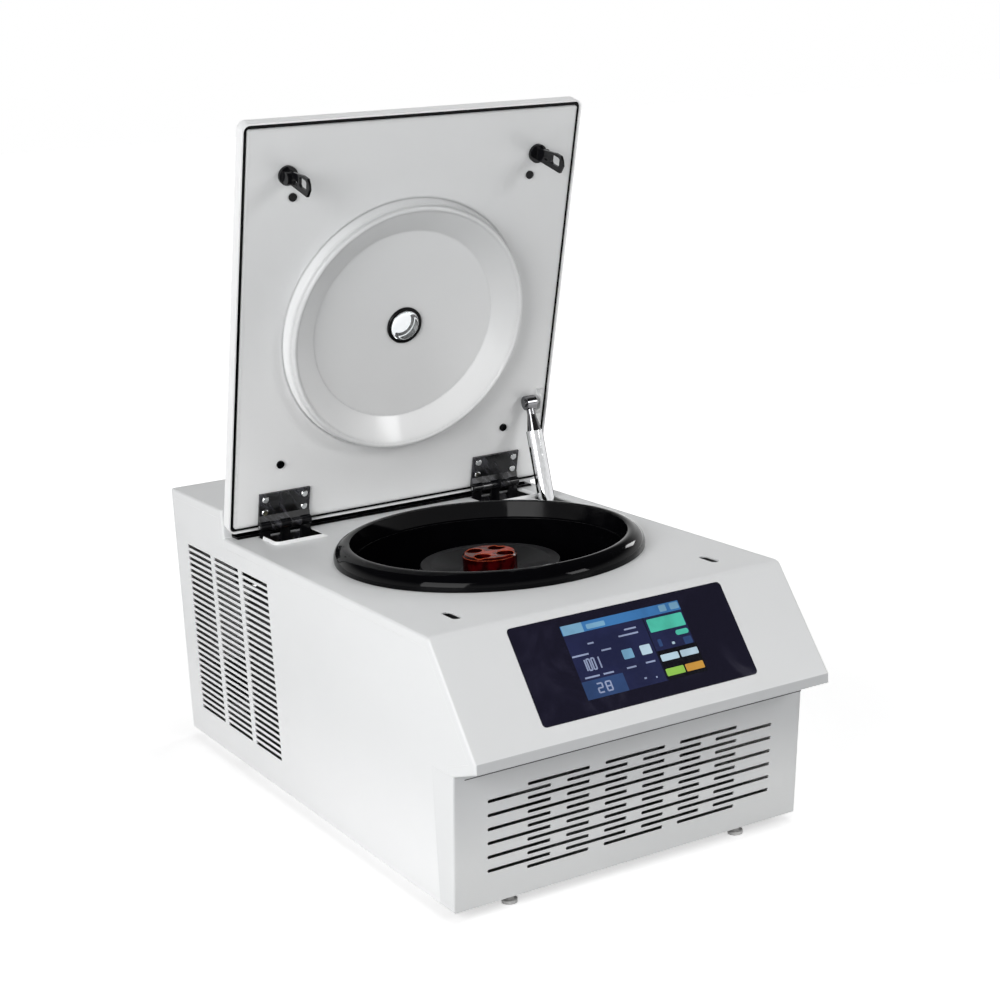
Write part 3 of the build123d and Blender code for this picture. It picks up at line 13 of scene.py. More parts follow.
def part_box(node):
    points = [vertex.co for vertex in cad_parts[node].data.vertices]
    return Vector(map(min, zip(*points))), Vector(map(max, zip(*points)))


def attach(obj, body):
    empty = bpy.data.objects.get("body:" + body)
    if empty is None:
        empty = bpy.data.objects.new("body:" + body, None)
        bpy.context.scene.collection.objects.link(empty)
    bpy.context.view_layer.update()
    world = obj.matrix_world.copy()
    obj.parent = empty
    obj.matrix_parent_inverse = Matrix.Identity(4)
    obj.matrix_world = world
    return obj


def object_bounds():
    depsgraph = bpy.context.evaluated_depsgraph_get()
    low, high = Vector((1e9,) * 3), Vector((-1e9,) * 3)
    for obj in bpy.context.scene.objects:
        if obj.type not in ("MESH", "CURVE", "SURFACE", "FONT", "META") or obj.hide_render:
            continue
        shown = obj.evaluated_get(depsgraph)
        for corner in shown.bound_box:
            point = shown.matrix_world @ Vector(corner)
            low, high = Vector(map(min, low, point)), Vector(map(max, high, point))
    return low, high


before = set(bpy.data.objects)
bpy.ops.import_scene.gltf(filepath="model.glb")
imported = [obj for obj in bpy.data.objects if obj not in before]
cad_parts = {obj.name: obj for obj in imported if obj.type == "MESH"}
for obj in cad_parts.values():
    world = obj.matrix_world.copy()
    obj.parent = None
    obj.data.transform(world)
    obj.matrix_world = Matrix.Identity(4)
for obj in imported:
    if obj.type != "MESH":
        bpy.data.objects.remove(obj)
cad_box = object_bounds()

bl_info = {
    "name": "Cytocentrifuge Dresser",
    "version": (1, 0, 0),
    "blender": (4, 5, 0),
    "location": "View3D > Sidebar > Centrifuge",
    "description": "Gives the benchtop cytocentrifuge its finishes, its lit display and its studio",
    "category": "Object",
}

MM = 0.001


# ---------------------------------------------------------------- node trees
class Tree:
    """Adds nodes to one node tree and joins them."""

    def __init__(self, node_tree):
        self.nodes = node_tree.nodes
        self.links = node_tree.links

    def add(self, kind, inputs=None, **settings):
        """A node of that kind; an input is a plain value or the socket that feeds it."""
        node = self.nodes.new(kind)
        for name, value in settings.items():
            setattr(node, name, value)
        for key, value in (inputs or {}).items():
            if isinstance(value, bpy.types.NodeSocket):
                self.links.new(value, node.inputs[key])
            else:
                node.inputs[key].default_value = value
        return node

    def maths(self, operation, first, second=0.5, third=0.5, clamp=False):
        """The result of one Math node."""
        inputs = {0: first, 1: second, 2: third}
        return self.add("ShaderNodeMath", inputs, operation=operation, use_clamp=clamp).outputs[0]

    def spread(self, value, low, high, new_low=0.0, new_high=1.0):
        """value taken from the span low to high to the new span, and held inside it."""
        inputs = {"Value": value, "From Min": low, "From Max": high, "To Min": new_low, "To Max": new_high}
        return self.add("ShaderNodeMapRange", inputs, interpolation_type="SMOOTHSTEP").outputs[0]

    def mixed(self, mask, first, second, blend="MIX"):
        """Colour first turned into colour second where the mask is 1."""
        inputs = {0: mask, 6: first, 7: second}
        return self.add("ShaderNodeMix", inputs, data_type="RGBA", blend_type=blend).outputs[2]

    def partly(self, mask, share, first, second):
        """Colour first turned towards colour second by that share of the mask."""
        return self.mixed(self.maths("MULTIPLY", mask, share), first, second)


def new_group(name, inputs, outputs):
    """An empty shader node group with those sockets, and its input and output nodes."""
    group = bpy.data.node_groups.new(name, "ShaderNodeTree")
    for label, kind, value in inputs:
        socket = group.interface.new_socket(label, in_out="INPUT", socket_type="NodeSocket" + kind)
        socket.default_value = value
    for label, kind in outputs:
        group.interface.new_socket(label, in_out="OUTPUT", socket_type="NodeSocket" + kind)
    tree = Tree(group)
    return tree, tree.add("NodeGroupInput").outputs, tree.add("NodeGroupOutput").inputs


def object_place(tree, scale=(1, 1, 1), turn=(0, 0, 0)):
    """Object coordinates, turned and then stretched by scale."""
    place = tree.add("ShaderNodeTexCoord").outputs["Object"]
    turned = tree.add("ShaderNodeMapping", {"Vector": place, "Rotation": turn}).outputs[0]
    return tree.add("ShaderNodeMapping", {"Vector": turned, "Scale": scale}).outputs[0]


def build_paint_skin():
    """Sprayed paint: a fine orange-peel height, and a slow drift between the colour and a darker one."""
    tree, given, put = new_group(
        "Paint Skin",
        [("Colour", "Color", (0.8, 0.8, 0.8, 1)), ("Drift", "Float", 0.04), ("Peel Scale", "Float", 450.0)],
        [("Colour", "Color"), ("Height", "Float")],
    )
    place = object_place(tree)
    peel = tree.add("ShaderNodeTexNoise", {"Vector": place, "Scale": given["Peel Scale"], "Detail": 2.0})
    slow = tree.add("ShaderNodeTexNoise", {"Vector": place, "Scale": 5.0, "Detail": 3.0, "Roughness": 0.6})
    patch = tree.spread(slow.outputs[0], 0.35, 0.65)
    darker = tree.mixed(1.0, given["Colour"], (0.72, 0.73, 0.74, 1), "MULTIPLY")
    tree.links.new(tree.partly(patch, given["Drift"], given["Colour"], darker), put["Colour"])
    tree.links.new(peel.outputs[0], put["Height"])


def build_edge_wear_and_highlight():
    """Rounded normals near an edge, and a mask of that edge broken up by noise: the finishes lighten edges
    with it, partly as wear and partly as a painted highlight.
    """
    tree, given, put = new_group(
        "Worn Edges",
        [("Radius", "Float", 0.6 * MM), ("Breakup", "Float", 0.5)],
        [("Normal", "Vector"), ("Mask", "Float")],
    )
    round_normal = tree.add("ShaderNodeBevel", {"Radius": given["Radius"]}, samples=4).outputs[0]
    flat_normal = tree.add("ShaderNodeNewGeometry").outputs["Normal"]
    alike = tree.add("ShaderNodeVectorMath", {0: round_normal, 1: flat_normal}, operation="DOT_PRODUCT")
    edge = tree.spread(alike.outputs["Value"], 0.995, 0.86)
    speckle = tree.add("ShaderNodeTexNoise", {"Vector": object_place(tree), "Scale": 140.0, "Detail": 4.0})
    kept = tree.spread(speckle.outputs[0], 0.42, 0.58)
    broken = tree.maths("MULTIPLY_ADD", tree.maths("SUBTRACT", kept, 1.0), given["Breakup"], 1.0)
    tree.links.new(round_normal, put["Normal"])
    tree.links.new(tree.maths("MULTIPLY", edge, broken, clamp=True), put["Mask"])


def build_drawn_grain():
    """Long fine lines along one axis, as drawing, turning or brushing leaves in metal."""
    tree, given, put = new_group(
        "Drawn Grain",
        [("Stretch", "Vector", (1.0, 1.0, 0.02)), ("Scale", "Float", 900.0)],
        [("Lines", "Float"), ("Height", "Float")],
    )
    place = tree.add("ShaderNodeTexCoord").outputs["Object"]
    drawn = tree.add("ShaderNodeVectorMath", {0: place, 1: given["Stretch"]}, operation="MULTIPLY").outputs[0]
    lines = tree.add("ShaderNodeTexNoise", {"Vector": drawn, "Scale": given["Scale"], "Detail": 3.0})
    tree.links.new(tree.spread(lines.outputs[0], 0.3, 0.7), put["Lines"])
    tree.links.new(lines.outputs[0], put["Height"])


def build_handling_marks():
    """Two masks from 0, clean, to 1: soft wiped smears, and fine dust specks."""
    tree, given, put = new_group(
        "Handling Marks",
        [("Smear Scale", "Float", 14.0), ("Specks", "Float", 0.3)],
        [("Mask", "Float"), ("Dust", "Float")],
    )
    place = object_place(tree, (1.0, 0.45, 1.0))
    smear = tree.add(
        "ShaderNodeTexNoise",
        {"Vector": place, "Scale": given["Smear Scale"], "Detail": 5.0, "Roughness": 0.62, "Distortion": 0.8},
    )
    cells = tree.add("ShaderNodeTexVoronoi", {"Vector": place, "Scale": 260.0})
    speck = tree.spread(cells.outputs["Distance"], 0.16, 0.05)
    tree.links.new(tree.spread(smear.outputs[0], 0.48, 0.7), put["Mask"])
    tree.links.new(tree.maths("MULTIPLY", speck, given["Specks"]), put["Dust"])


def build_mottle():
    """A cloudy pattern, its fine grain and its crystals, for castings, mouldings, foam, enamel and zinc."""
    tree, given, put = new_group(
        "Mottle",
        [("Scale", "Float", 60.0), ("Sharpness", "Float", 0.1)],
        [("Cloud", "Float"), ("Grain", "Float"), ("Spangle", "Float")],
    )
    place = object_place(tree)
    cloud = tree.add("ShaderNodeTexNoise", {"Vector": place, "Scale": given["Scale"], "Detail": 4.0})
    fine = tree.maths("MULTIPLY", given["Scale"], 14.0)
    grain = tree.add("ShaderNodeTexNoise", {"Vector": place, "Scale": fine, "Detail": 3.0})
    cells = tree.add("ShaderNodeTexVoronoi", {"Vector": place, "Scale": given["Scale"]})
    crystal = tree.add("ShaderNodeSeparateColor", {0: cells.outputs["Color"]}).outputs[0]
    start = tree.maths("SUBTRACT", 0.5, given["Sharpness"])
    tree.links.new(tree.spread(cloud.outputs[0], start, 0.62), put["Cloud"])
    tree.links.new(grain.outputs[0], put["Grain"])
    tree.links.new(crystal, put["Spangle"])


def use_group(tree, name, inputs=None):
    """The outputs of a shared group placed in a material with its own values."""
    return tree.add("ShaderNodeGroup", inputs, node_tree=bpy.data.node_groups[name]).outputs


def new_material(name, **constants):
    """A material with one Principled shader whose constant sockets are set, and its tree."""
    material = bpy.data.materials.new("Finish " + name)
    material.use_nodes = True
    tree = Tree(material.node_tree)
    shader = tree.nodes["Principled BSDF"]
    for key, value in constants.items():
        shader.inputs[key.replace("_", " ")].default_value = value
    return material, tree, shader.inputs


def bumped(tree, put, height, normal, depth, strength=0.3):
    """The height of a surface grain, depth in metres, on top of the rounded edge normals."""
    inputs = {"Height": height, "Normal": normal, "Distance": depth, "Strength": strength}
    tree.links.new(tree.add("ShaderNodeBump", inputs).outputs[0], put["Normal"])


def smeared_gloss(tree, put, mask, roughness, more):
    """The roughness, which rises by more where the mask is 1."""
    tree.links.new(tree.spread(mask, 0.0, 1.0, roughness, roughness + more), put["Roughness"])


def rgba(colour, scale=1.0):
    """A colour with its alpha, made lighter or darker by scale."""
    return tuple(min(1.0, part * scale) for part in colour[:3]) + (1.0,)


# ---------------------------------------------------------------- finishes
def height_over_floor(tree):
    """The height over the floor at each point, from Object coordinates."""
    place = tree.add("ShaderNodeTexCoord").outputs["Object"]
    return tree.add("ShaderNodeSeparateXYZ", {0: place}).outputs["Z"]


def facing_share(tree, axis, low, high):
    """1 where the flat face looks along that axis, either way, falling to 0 where it looks across it."""
    normal = tree.add("ShaderNodeNewGeometry").outputs["True Normal"]
    along = tree.maths("ABSOLUTE", tree.add("ShaderNodeSeparateXYZ", {0: normal}).outputs[axis])
    return tree.spread(along, low, high)


def sprayed_paint(name, colour, roughness, peel, edge_lift=1.2, edge_radius=0.7 * MM, side_colour=None,
                  front_colour=None, foot_colour=None, foot_span=None, cut_edges=False, **constants):
    """Stoved paint on sheet metal: orange peel, a slow drift, and lighter paint on the edges, partly wear and
    partly a painted highlight.

    edge_radius rounds the shading of bends. The side colour goes on faces that look sideways; the front
    colour, a painted shade, goes on faces that look straight ahead. From the first height of the foot span
    down to the second, the paint turns to the foot colour: painted light.
    Cutting the edges paints the level faces of punched slots near-black: painted shade in the slots.
    """
    peel_depth = 0.04 * MM
    material, tree, put = new_material(name, **constants)
    ground = rgba(colour)
    # Painted light: the paint turns lighter towards the foot.
    if foot_colour:
        ground = tree.mixed(tree.spread(height_over_floor(tree), *foot_span), ground, rgba(foot_colour))
    if side_colour:
        ground = tree.mixed(facing_share(tree, "X", 0.6, 0.9), ground, rgba(side_colour))
    # Painted shade on faces that look straight ahead.
    if front_colour:
        ground = tree.mixed(facing_share(tree, "Y", 0.9, 0.97), ground, rgba(front_colour))
    skin = use_group(tree, "Paint Skin", {"Colour": ground, "Peel Scale": peel})
    edges = use_group(tree, "Worn Edges", {"Radius": edge_radius, "Breakup": 0.35})
    marks = use_group(tree, "Handling Marks", {"Smear Scale": 9.0})
    # Lighter edges: partly wear, partly a painted highlight.
    lifted = tree.mixed(edges["Mask"], skin["Colour"], rgba(colour, edge_lift))
    # Painted shade: the level faces inside the slots go near-black.
    if cut_edges:
        lifted = tree.mixed(facing_share(tree, "Z", 0.7, 0.9), lifted, (0.02, 0.02, 0.02, 1))
    tree.links.new(tree.partly(marks["Dust"], 0.2, lifted, (0.5, 0.49, 0.47, 1)), put["Base Color"])
    smeared_gloss(tree, put, marks["Mask"], roughness, 0.08)
    bumped(tree, put, skin["Height"], edges["Normal"], peel_depth)
    return material


def gloss_black(name, colour, roughness, specular):
    """Black enamel or polished rubber: wiped smears in the gloss, and grey along the edges, partly wear and
    partly a painted highlight.
    """
    material, tree, put = new_material(name, Specular_IOR_Level=specular)
    edges = use_group(tree, "Worn Edges", {"Radius": 0.8 * MM, "Breakup": 0.7})
    marks = use_group(tree, "Handling Marks", {"Smear Scale": 16.0})
    cloud = use_group(tree, "Mottle", {"Scale": 30.0})
    base = tree.partly(cloud["Cloud"], 0.35, rgba(colour), rgba(colour, 1.6))
    # Greyer edges: partly wear, partly a painted highlight.
    tree.links.new(tree.partly(edges["Mask"], 0.3, base, (0.1, 0.1, 0.1, 1)), put["Base Color"])
    smeared_gloss(tree, put, marks["Mask"], roughness, 0.14)
    bumped(tree, put, cloud["Grain"], edges["Normal"], 0.02 * MM)
    return material


def black_with_painted_streaks(name, colour, roughness):
    """Black steel sheet: soft slanting streaks in its colour, a painted reflection, and in its gloss."""
    material, tree, put = new_material(name, Specular_IOR_Level=0.6)
    edges = use_group(tree, "Worn Edges", {"Radius": 0.5 * MM, "Breakup": 0.4})
    place = object_place(tree, (110.0, 60.0, 26.0), (0.0, 0.6, 0.0))
    streak = tree.add("ShaderNodeTexNoise", {"Vector": place, "Scale": 1.0, "Detail": 3.0, "Distortion": 0.6})
    lit = tree.spread(streak.outputs[0], 0.4, 0.75)
    # Painted reflection: the streaks are much lighter than the steel.
    base = tree.mixed(lit, rgba(colour), rgba(colour, 10.0))
    # Greyer edges: partly wear, partly a painted highlight.
    tree.links.new(tree.partly(edges["Mask"], 0.5, base, (0.16, 0.16, 0.16, 1)), put["Base Color"])
    smeared_gloss(tree, put, lit, roughness, 0.2)
    bumped(tree, put, streak.outputs[0], edges["Normal"], 0.2 * MM)
    return material


def moulded(name, colour, roughness, scale=90.0, depth=0.06 * MM):
    """Moulded plastic, matt rubber or foam: a cloudy colour and an even grain."""
    material, tree, put = new_material(name)
    edges = use_group(tree, "Worn Edges", {"Radius": 0.5 * MM, "Breakup": 0.8})
    cloud = use_group(tree, "Mottle", {"Scale": scale})
    base = tree.mixed(cloud["Cloud"], rgba(colour), rgba(colour, 0.82))
    # Lighter edges: partly wear, partly a painted highlight.
    tree.links.new(tree.partly(edges["Mask"], 0.3, base, rgba(colour, 1.5)), put["Base Color"])
    gloss = tree.spread(cloud["Grain"], 0.3, 0.7, roughness - 0.05, roughness + 0.07)
    tree.links.new(gloss, put["Roughness"])
    bumped(tree, put, cloud["Grain"], edges["Normal"], depth, 0.5)
    return material


def drawn_metal(name, colour, roughness, stretch=(1.0, 1.0, 0.02), scale=900.0, depth=0.03 * MM,
                painted_dark_reflection=False):
    """Bare metal with fine lines from drawing, turning or brushing, and brighter edges, partly wear and
    partly a painted highlight.

    Asked for, the round of a chromed bar is painted dark where it curves away: a painted reflection of a dark
    room.
    """
    material, tree, put = new_material(name, Metallic=1.0)
    edges = use_group(tree, "Worn Edges", {"Radius": 0.4 * MM, "Breakup": 0.4})
    grain = use_group(tree, "Drawn Grain", {"Stretch": stretch, "Scale": scale})
    marks = use_group(tree, "Handling Marks", {"Smear Scale": 22.0, "Specks": 0.2})
    base = tree.mixed(grain["Lines"], rgba(colour), rgba(colour, 0.86))
    # Brighter edges: partly wear, partly a painted highlight.
    base = tree.mixed(edges["Mask"], base, rgba(colour, 1.25))
    # Painted reflection: dark colour and dark specular tint where the round turns away.
    if painted_dark_reflection:
        away = tree.add("ShaderNodeLayerWeight", {"Blend": 0.5}).outputs["Facing"]
        away = tree.spread(away, 0.55, 0.8)
        base = tree.mixed(away, base, (0.01, 0.01, 0.012, 1))
        tree.links.new(tree.mixed(away, (1, 1, 1, 1), (0.02, 0.02, 0.02, 1)), put["Specular Tint"])
    tree.links.new(base, put["Base Color"])
    smeared_gloss(tree, put, marks["Mask"], roughness, 0.1)
    bumped(tree, put, grain["Height"], edges["Normal"], depth)
    return material


def spangled_zinc(name, colour, roughness):
    """Galvanised sheet: crystals of slightly different grey."""
    material, tree, put = new_material(name, Metallic=1.0)
    edges = use_group(tree, "Worn Edges", {"Radius": 0.4 * MM})
    cloud = use_group(tree, "Mottle", {"Scale": 70.0})
    tree.links.new(tree.mixed(cloud["Spangle"], rgba(colour), rgba(colour, 0.7)), put["Base Color"])
    smeared_gloss(tree, put, cloud["Spangle"], roughness, 0.15)
    bumped(tree, put, cloud["Grain"], edges["Normal"], 0.03 * MM)
    return material


def red_with_painted_light(name, colour, roughness, lit_colour, crown):
    """Tinted gloss moulding of the rotor knob: deep red, with painted light on the crown, at height crown,
    and a painted highlight on the rims.
    """
    material, tree, put = new_material(name, Specular_IOR_Level=0.09)
    edges = use_group(tree, "Worn Edges", {"Radius": 1.5 * MM, "Breakup": 0.2})
    cloud = use_group(tree, "Mottle", {"Scale": 48.0, "Sharpness": 0.04})
    base = tree.mixed(cloud["Cloud"], rgba(colour), rgba(colour, 5.0))
    web = tree.mixed(cloud["Cloud"], rgba(lit_colour, 0.25), rgba(lit_colour))
    crown_light_from, crown_light_full = crown - 0.9 * MM, crown - 0.3 * MM
    # Painted light: the crown is lighter than the knob's sides and pockets.
    base = tree.mixed(tree.spread(height_over_floor(tree), crown_light_from, crown_light_full), base, web)
    # Painted highlight: the rims turn bright orange.
    tree.links.new(tree.mixed(edges["Mask"], base, (0.85, 0.14, 0.05, 1)), put["Base Color"])
    tree.links.new(tree.spread(cloud["Grain"], 0.3, 0.7, roughness, roughness + 0.06), put["Roughness"])
    bumped(tree, put, cloud["Grain"], edges["Normal"], 0.02 * MM)
    return material


def clear_window(name, colour, roughness):
    """Clear polycarbonate: transmissive, with faint smears in its gloss."""
    material, tree, put = new_material(name, Transmission_Weight=0.9, IOR=1.5, Coat_Weight=0.2)
    marks = use_group(tree, "Handling Marks", {"Smear Scale": 30.0})
    tree.links.new(tree.mixed(marks["Mask"], rgba(colour), rgba(colour, 0.92)), put["Base Color"])
    smeared_gloss(tree, put, marks["Mask"], roughness, 0.05)
    return material


def screen_glass_finish(name, colour, roughness):
    """Back-printed navy glass: a hard gloss with faint wiped smears."""
    material, tree, put = new_material(name, Coat_Weight=0.5, Coat_Roughness=0.03, Specular_IOR_Level=0.4)
    marks = use_group(tree, "Handling Marks", {"Smear Scale": 20.0, "Specks": 0.4})
    edges = use_group(tree, "Worn Edges", {"Radius": 0.6 * MM, "Breakup": 0.1})
    base = tree.partly(marks["Mask"], 0.5, rgba(colour), rgba(colour, 1.8))
    # Greyer edges: partly wear, partly a painted highlight.
    tree.links.new(tree.partly(edges["Mask"], 0.4, base, (0.1, 0.11, 0.13, 1)), put["Base Color"])
    smeared_gloss(tree, put, marks["Mask"], roughness, 0.1)
    tree.links.new(edges["Normal"], put["Normal"])
    return material


def lit_pixels(name, colour, glow):
    """Backlit display colour: slightly uneven light under a glossy face."""
    material, tree, put = new_material(name, Coat_Weight=0.5, Coat_Roughness=0.03, Emission_Strength=glow)
    light = use_group(tree, "Mottle", {"Scale": 22.0})
    drift = tree.mixed(light["Cloud"], rgba(colour), rgba(colour, 0.84))
    tree.links.new(drift, put["Emission Color"])
    tree.links.new(tree.mixed(light["Cloud"], rgba(colour, 0.3), rgba(colour, 0.2)), put["Base Color"])
    tree.links.new(tree.spread(light["Grain"], 0.3, 0.7, 0.1, 0.16), put["Roughness"])
    return material


# ---------------------------------------------------------------- user settings
def colour_property(name, description, default):
    """A colour that the panel shows."""
    return FloatVectorProperty(name=name, description=description, default=default, subtype="COLOR",
                               size=3, min=0.0, max=1.0)


def length_property(name, description, default):
    """A length in metres that the panel shows."""
    return FloatProperty(name=name, description=description, default=default, min=0.0, unit="LENGTH",
                         precision=4)


def power_property(name, description, default):
    """A lamp's power in watts that the panel shows."""
    return FloatProperty(name=name, description=description, default=default, min=0.0, unit="POWER")


class CasingSettings(bpy.types.PropertyGroup):
    """Paints of the sheet-metal casing and the lid."""

    cabinet_colour: colour_property("Cabinet", "Deck, slope, sides and rear", (0.80, 0.81, 0.815))
    lid_colour: colour_property("Lid", "Lid's liner", (0.705, 0.715, 0.72))
    # Painted light: the liner turns lighter towards its hinge end, where the open lid lies in shade.
    liner_painted_light: colour_property("Liner's foot", "Liner near its hinges", (0.95, 0.955, 0.955))
    cover_colour: colour_property("Lid cover", "Lid's outside and rim", (0.92, 0.925, 0.93))
    # Painted shade: the lip's front face is darker than the deck's own paint.
    lip_colour: colour_property("Lip", "Turned-down lip at the foot of the slope", (0.56, 0.57, 0.58))
    # Painted shade: the grille's front faces are darker than the same paint on its sides, darkest high up
    # under the brow.
    grille_painted_shade_colour: colour_property("Grille", "Louvred front panel", (0.60, 0.61, 0.62))
    # Painted light: the grille turns lighter towards the floor.
    grille_painted_light: colour_property("Grille's foot", "Front panel by the floor", (0.78, 0.79, 0.79))
    roughness: FloatProperty(name="Roughness", description="Roughness of the paint", default=0.36,
                             min=0.0, max=1.0)
    peel: FloatProperty(name="Peel", description="Orange-peel bumps per metre", default=450.0, min=1.0)


class ChamberSettings(bpy.types.PropertyGroup):
    """Finishes of the chamber, the rotor and the knob."""

    bowl_colour: colour_property("Bowl", "Enamel inside the chamber", (0.0015, 0.0015, 0.002))
    rubber_colour: colour_property("Rubber", "Rim gasket and lid seal", (0.0015, 0.0015, 0.002))
    rotor_colour: colour_property("Rotor", "Anodised rotor and rotor lid", (0.005, 0.005, 0.006))
    knob_colour: colour_property("Knob", "Sides and pockets of the rotor's knob", (0.014, 0.0003, 0.0005))
    # Painted light on the knob's crown.
    knob_crown_painted_light: colour_property("Knob's crown", "Lit web on the knob's crown", (0.36, 0.035, 0.015))


class MetalSettings(bpy.types.PropertyGroup):
    """Bare metals and plated parts."""

    bright_colour: colour_property("Bright steel", "Chromed screws, tube and studs", (0.80, 0.81, 0.82))
    spindle_colour: colour_property("Ground steel", "Rod, spindle and pins", (0.56, 0.57, 0.58))
    black_colour: colour_property("Black steel", "Hinges, hooks and fittings", (0.004, 0.004, 0.005))
    # Painted reflection: the socket's chrome is darkened as if mirroring dark surroundings.
    socket_chrome_painted_dark: colour_property("Dark chrome", "Ball socket of the strut", (0.22, 0.22, 0.23))
    aluminium_colour: colour_property("Aluminium", "Heat sinks and fins", (0.72, 0.73, 0.74))


class DisplaySettings(bpy.types.PropertyGroup):
    """The lit picture under the screen glass."""

    width: length_property("Width", "Lit width across the slope", 0.154)
    length: length_property("Length", "Lit length down the slope", 0.086)
    corner: length_property("Corner", "Corner radius of a key", 1.2 * MM)
    layer: length_property("Layer", "Height of each layer of the picture over the one below", 0.04 * MM)
    glow: FloatProperty(name="Glow", description="Brightness of the lit picture", default=0.62,
                        min=0.0, max=5.0)
    ground_colour: colour_property("Ground", "Dark field behind the keys", (0.018, 0.022, 0.075))
    header_colour: colour_property("Header", "Bar across the top", (0.055, 0.21, 0.50))
    key_colour: colour_property("Main key", "Large key at the upper right", (0.09, 0.60, 0.45))
    sky_colour: colour_property("Header boxes", "Boxes on the bar and the left square", (0.22, 0.45, 0.66))
    pale_colour: colour_property("Pale keys", "Small pale keys", (0.56, 0.74, 0.86))
    lilac_colour: colour_property("Lines", "Plain lines and numbers", (0.36, 0.42, 0.62))
    blue_colour: colour_property("Blue fields", "Fields behind the numbers", (0.035, 0.075, 0.2))
    black_colour: colour_property("Dark fields", "Dark band behind the keys", (0.003, 0.003, 0.007))
    green_colour: colour_property("Green key", "Small green key", (0.32, 0.62, 0.10))
    amber_colour: colour_property("Amber key", "Small amber key", (0.66, 0.34, 0.06))


class StudioSettings(bpy.types.PropertyGroup):
    """Camera, lamps, floor and background."""

    lens: FloatProperty(name="Lens", description="Focal length on a 36 mm wide sensor", default=69.69,
                        min=10.0, unit="CAMERA")
    floor_size: length_property("Floor", "Side of the square floor", 40.0)
    sky: FloatProperty(name="Sky", description="Plain light from all round", default=0.14, min=0.0)
    key_power: power_property("Key", "Large soft lamp at the left", 64.0)
    right_power: power_property("Right", "Soft lamp at the front right", 20.0)
    rim_power: power_property("Rim", "Small lamp behind at the right", 8.0)
    top_power: power_property("Top", "Soft lamp overhead", 14.0)
    floor_colour: colour_property("Floor colour", "Plain pale floor", (0.80, 0.80, 0.80))
    floor_lift: FloatProperty(name="Floor lift", description="White added to the floor near the object",
                              default=0.55, min=0.0)


SETTINGS = {
    "cyto_casing": CasingSettings,
    "cyto_chamber": ChamberSettings,
    "cyto_metal": MetalSettings,
    "cyto_display": DisplaySettings,
    "cyto_studio": StudioSettings,
}


# ---------------------------------------------------------------- surfaces
def add_piece(name, points, faces, materials, body, material_of_face=None):
    """A mesh object at the origin from arrays of points and faces, which rides on a body."""
    mesh = bpy.data.meshes.new(name)
    mesh.from_pydata(points.tolist(), [], faces)
    for material in materials:
        mesh.materials.append(material)
    if material_of_face:
        mesh.polygons.foreach_set("material_index", np.asarray(material_of_face, dtype=np.int32))
    mesh.update()
    piece = bpy.data.objects.new(name, mesh)
    bpy.context.scene.collection.objects.link(piece)
    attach(piece, body)


def grid_faces(rows, columns, closed_rows=False, closed_columns=False):
    """Quads between neighbouring points of a grid, joined round where it is closed."""
    return [
        [row * columns + column, (row + 1) % rows * columns + column,
         (row + 1) % rows * columns + (column + 1) % columns, row * columns + (column + 1) % columns]
        for row in range(rows - (not closed_rows))
        for column in range(columns - (not closed_columns))
    ]


def rounded_tile(width, length, corner):
    """Outline of a rounded rectangle: at angle a, a corner's centre plus corner times (cos a, sin a).

    The centre is the box's corner drawn in by the radius, in the quarter that the angle points to.
    """
    corner_points = 5
    quarter = np.linspace(0, pi / 2, corner_points)
    angle = np.concatenate([quarter + turn * pi / 2 for turn in range(4)])
    middle = np.repeat((np.arange(4) + 0.5) * pi / 2, corner_points)
    across = np.sign(np.cos(middle)) * (width / 2 - corner) + corner * np.cos(angle)
    along = np.sign(np.sin(middle)) * (length / 2 - corner) + corner * np.sin(angle)
    return np.stack([across, along], axis=1)


def packed_points(node_name):
    """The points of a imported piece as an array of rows."""
    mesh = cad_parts[node_name].data
    points = np.empty(len(mesh.vertices) * 3)
    mesh.vertices.foreach_get("co", points)
    return points.reshape(-1, 3)


def slab_axes(node_name):
    """A flat slab's long axis down the slope, its upward normal and how far its face lies along that normal.

    They are the principal axes of its points seen from the side: the spread is largest down the slope and
    smallest through the slab.
    """
    points = packed_points(node_name)
    side_view = points[:, 1:] - (points.min(axis=0) + points.max(axis=0))[1:] / 2
    _, _, axes = np.linalg.svd(side_view, full_matrices=False)
    down = np.array([0.0, *axes[0]])
    down *= -np.sign(down[2])
    normal = np.array([0.0, *axes[1]])
    normal *= np.sign(normal[2])
    return down, normal, (points @ normal).max()


# The seven bars of a digit: how far across and down from its middle, in shares of its width and height, and
# whether the bar lies level. BARS_OF_DIGIT says which of them light up.
DIGIT_BARS = (
    (0.0, -0.5, True), (-0.5, -0.25, False), (0.5, -0.25, False), (0.0, 0.0, True),
    (-0.5, 0.25, False), (0.5, 0.25, False), (0.0, 0.5, True),
)
BARS_OF_DIGIT = {"0": (0, 1, 2, 4, 5, 6), "1": (2, 5), "2": (0, 2, 3, 4, 6), "8": (0, 1, 2, 3, 4, 5, 6)}


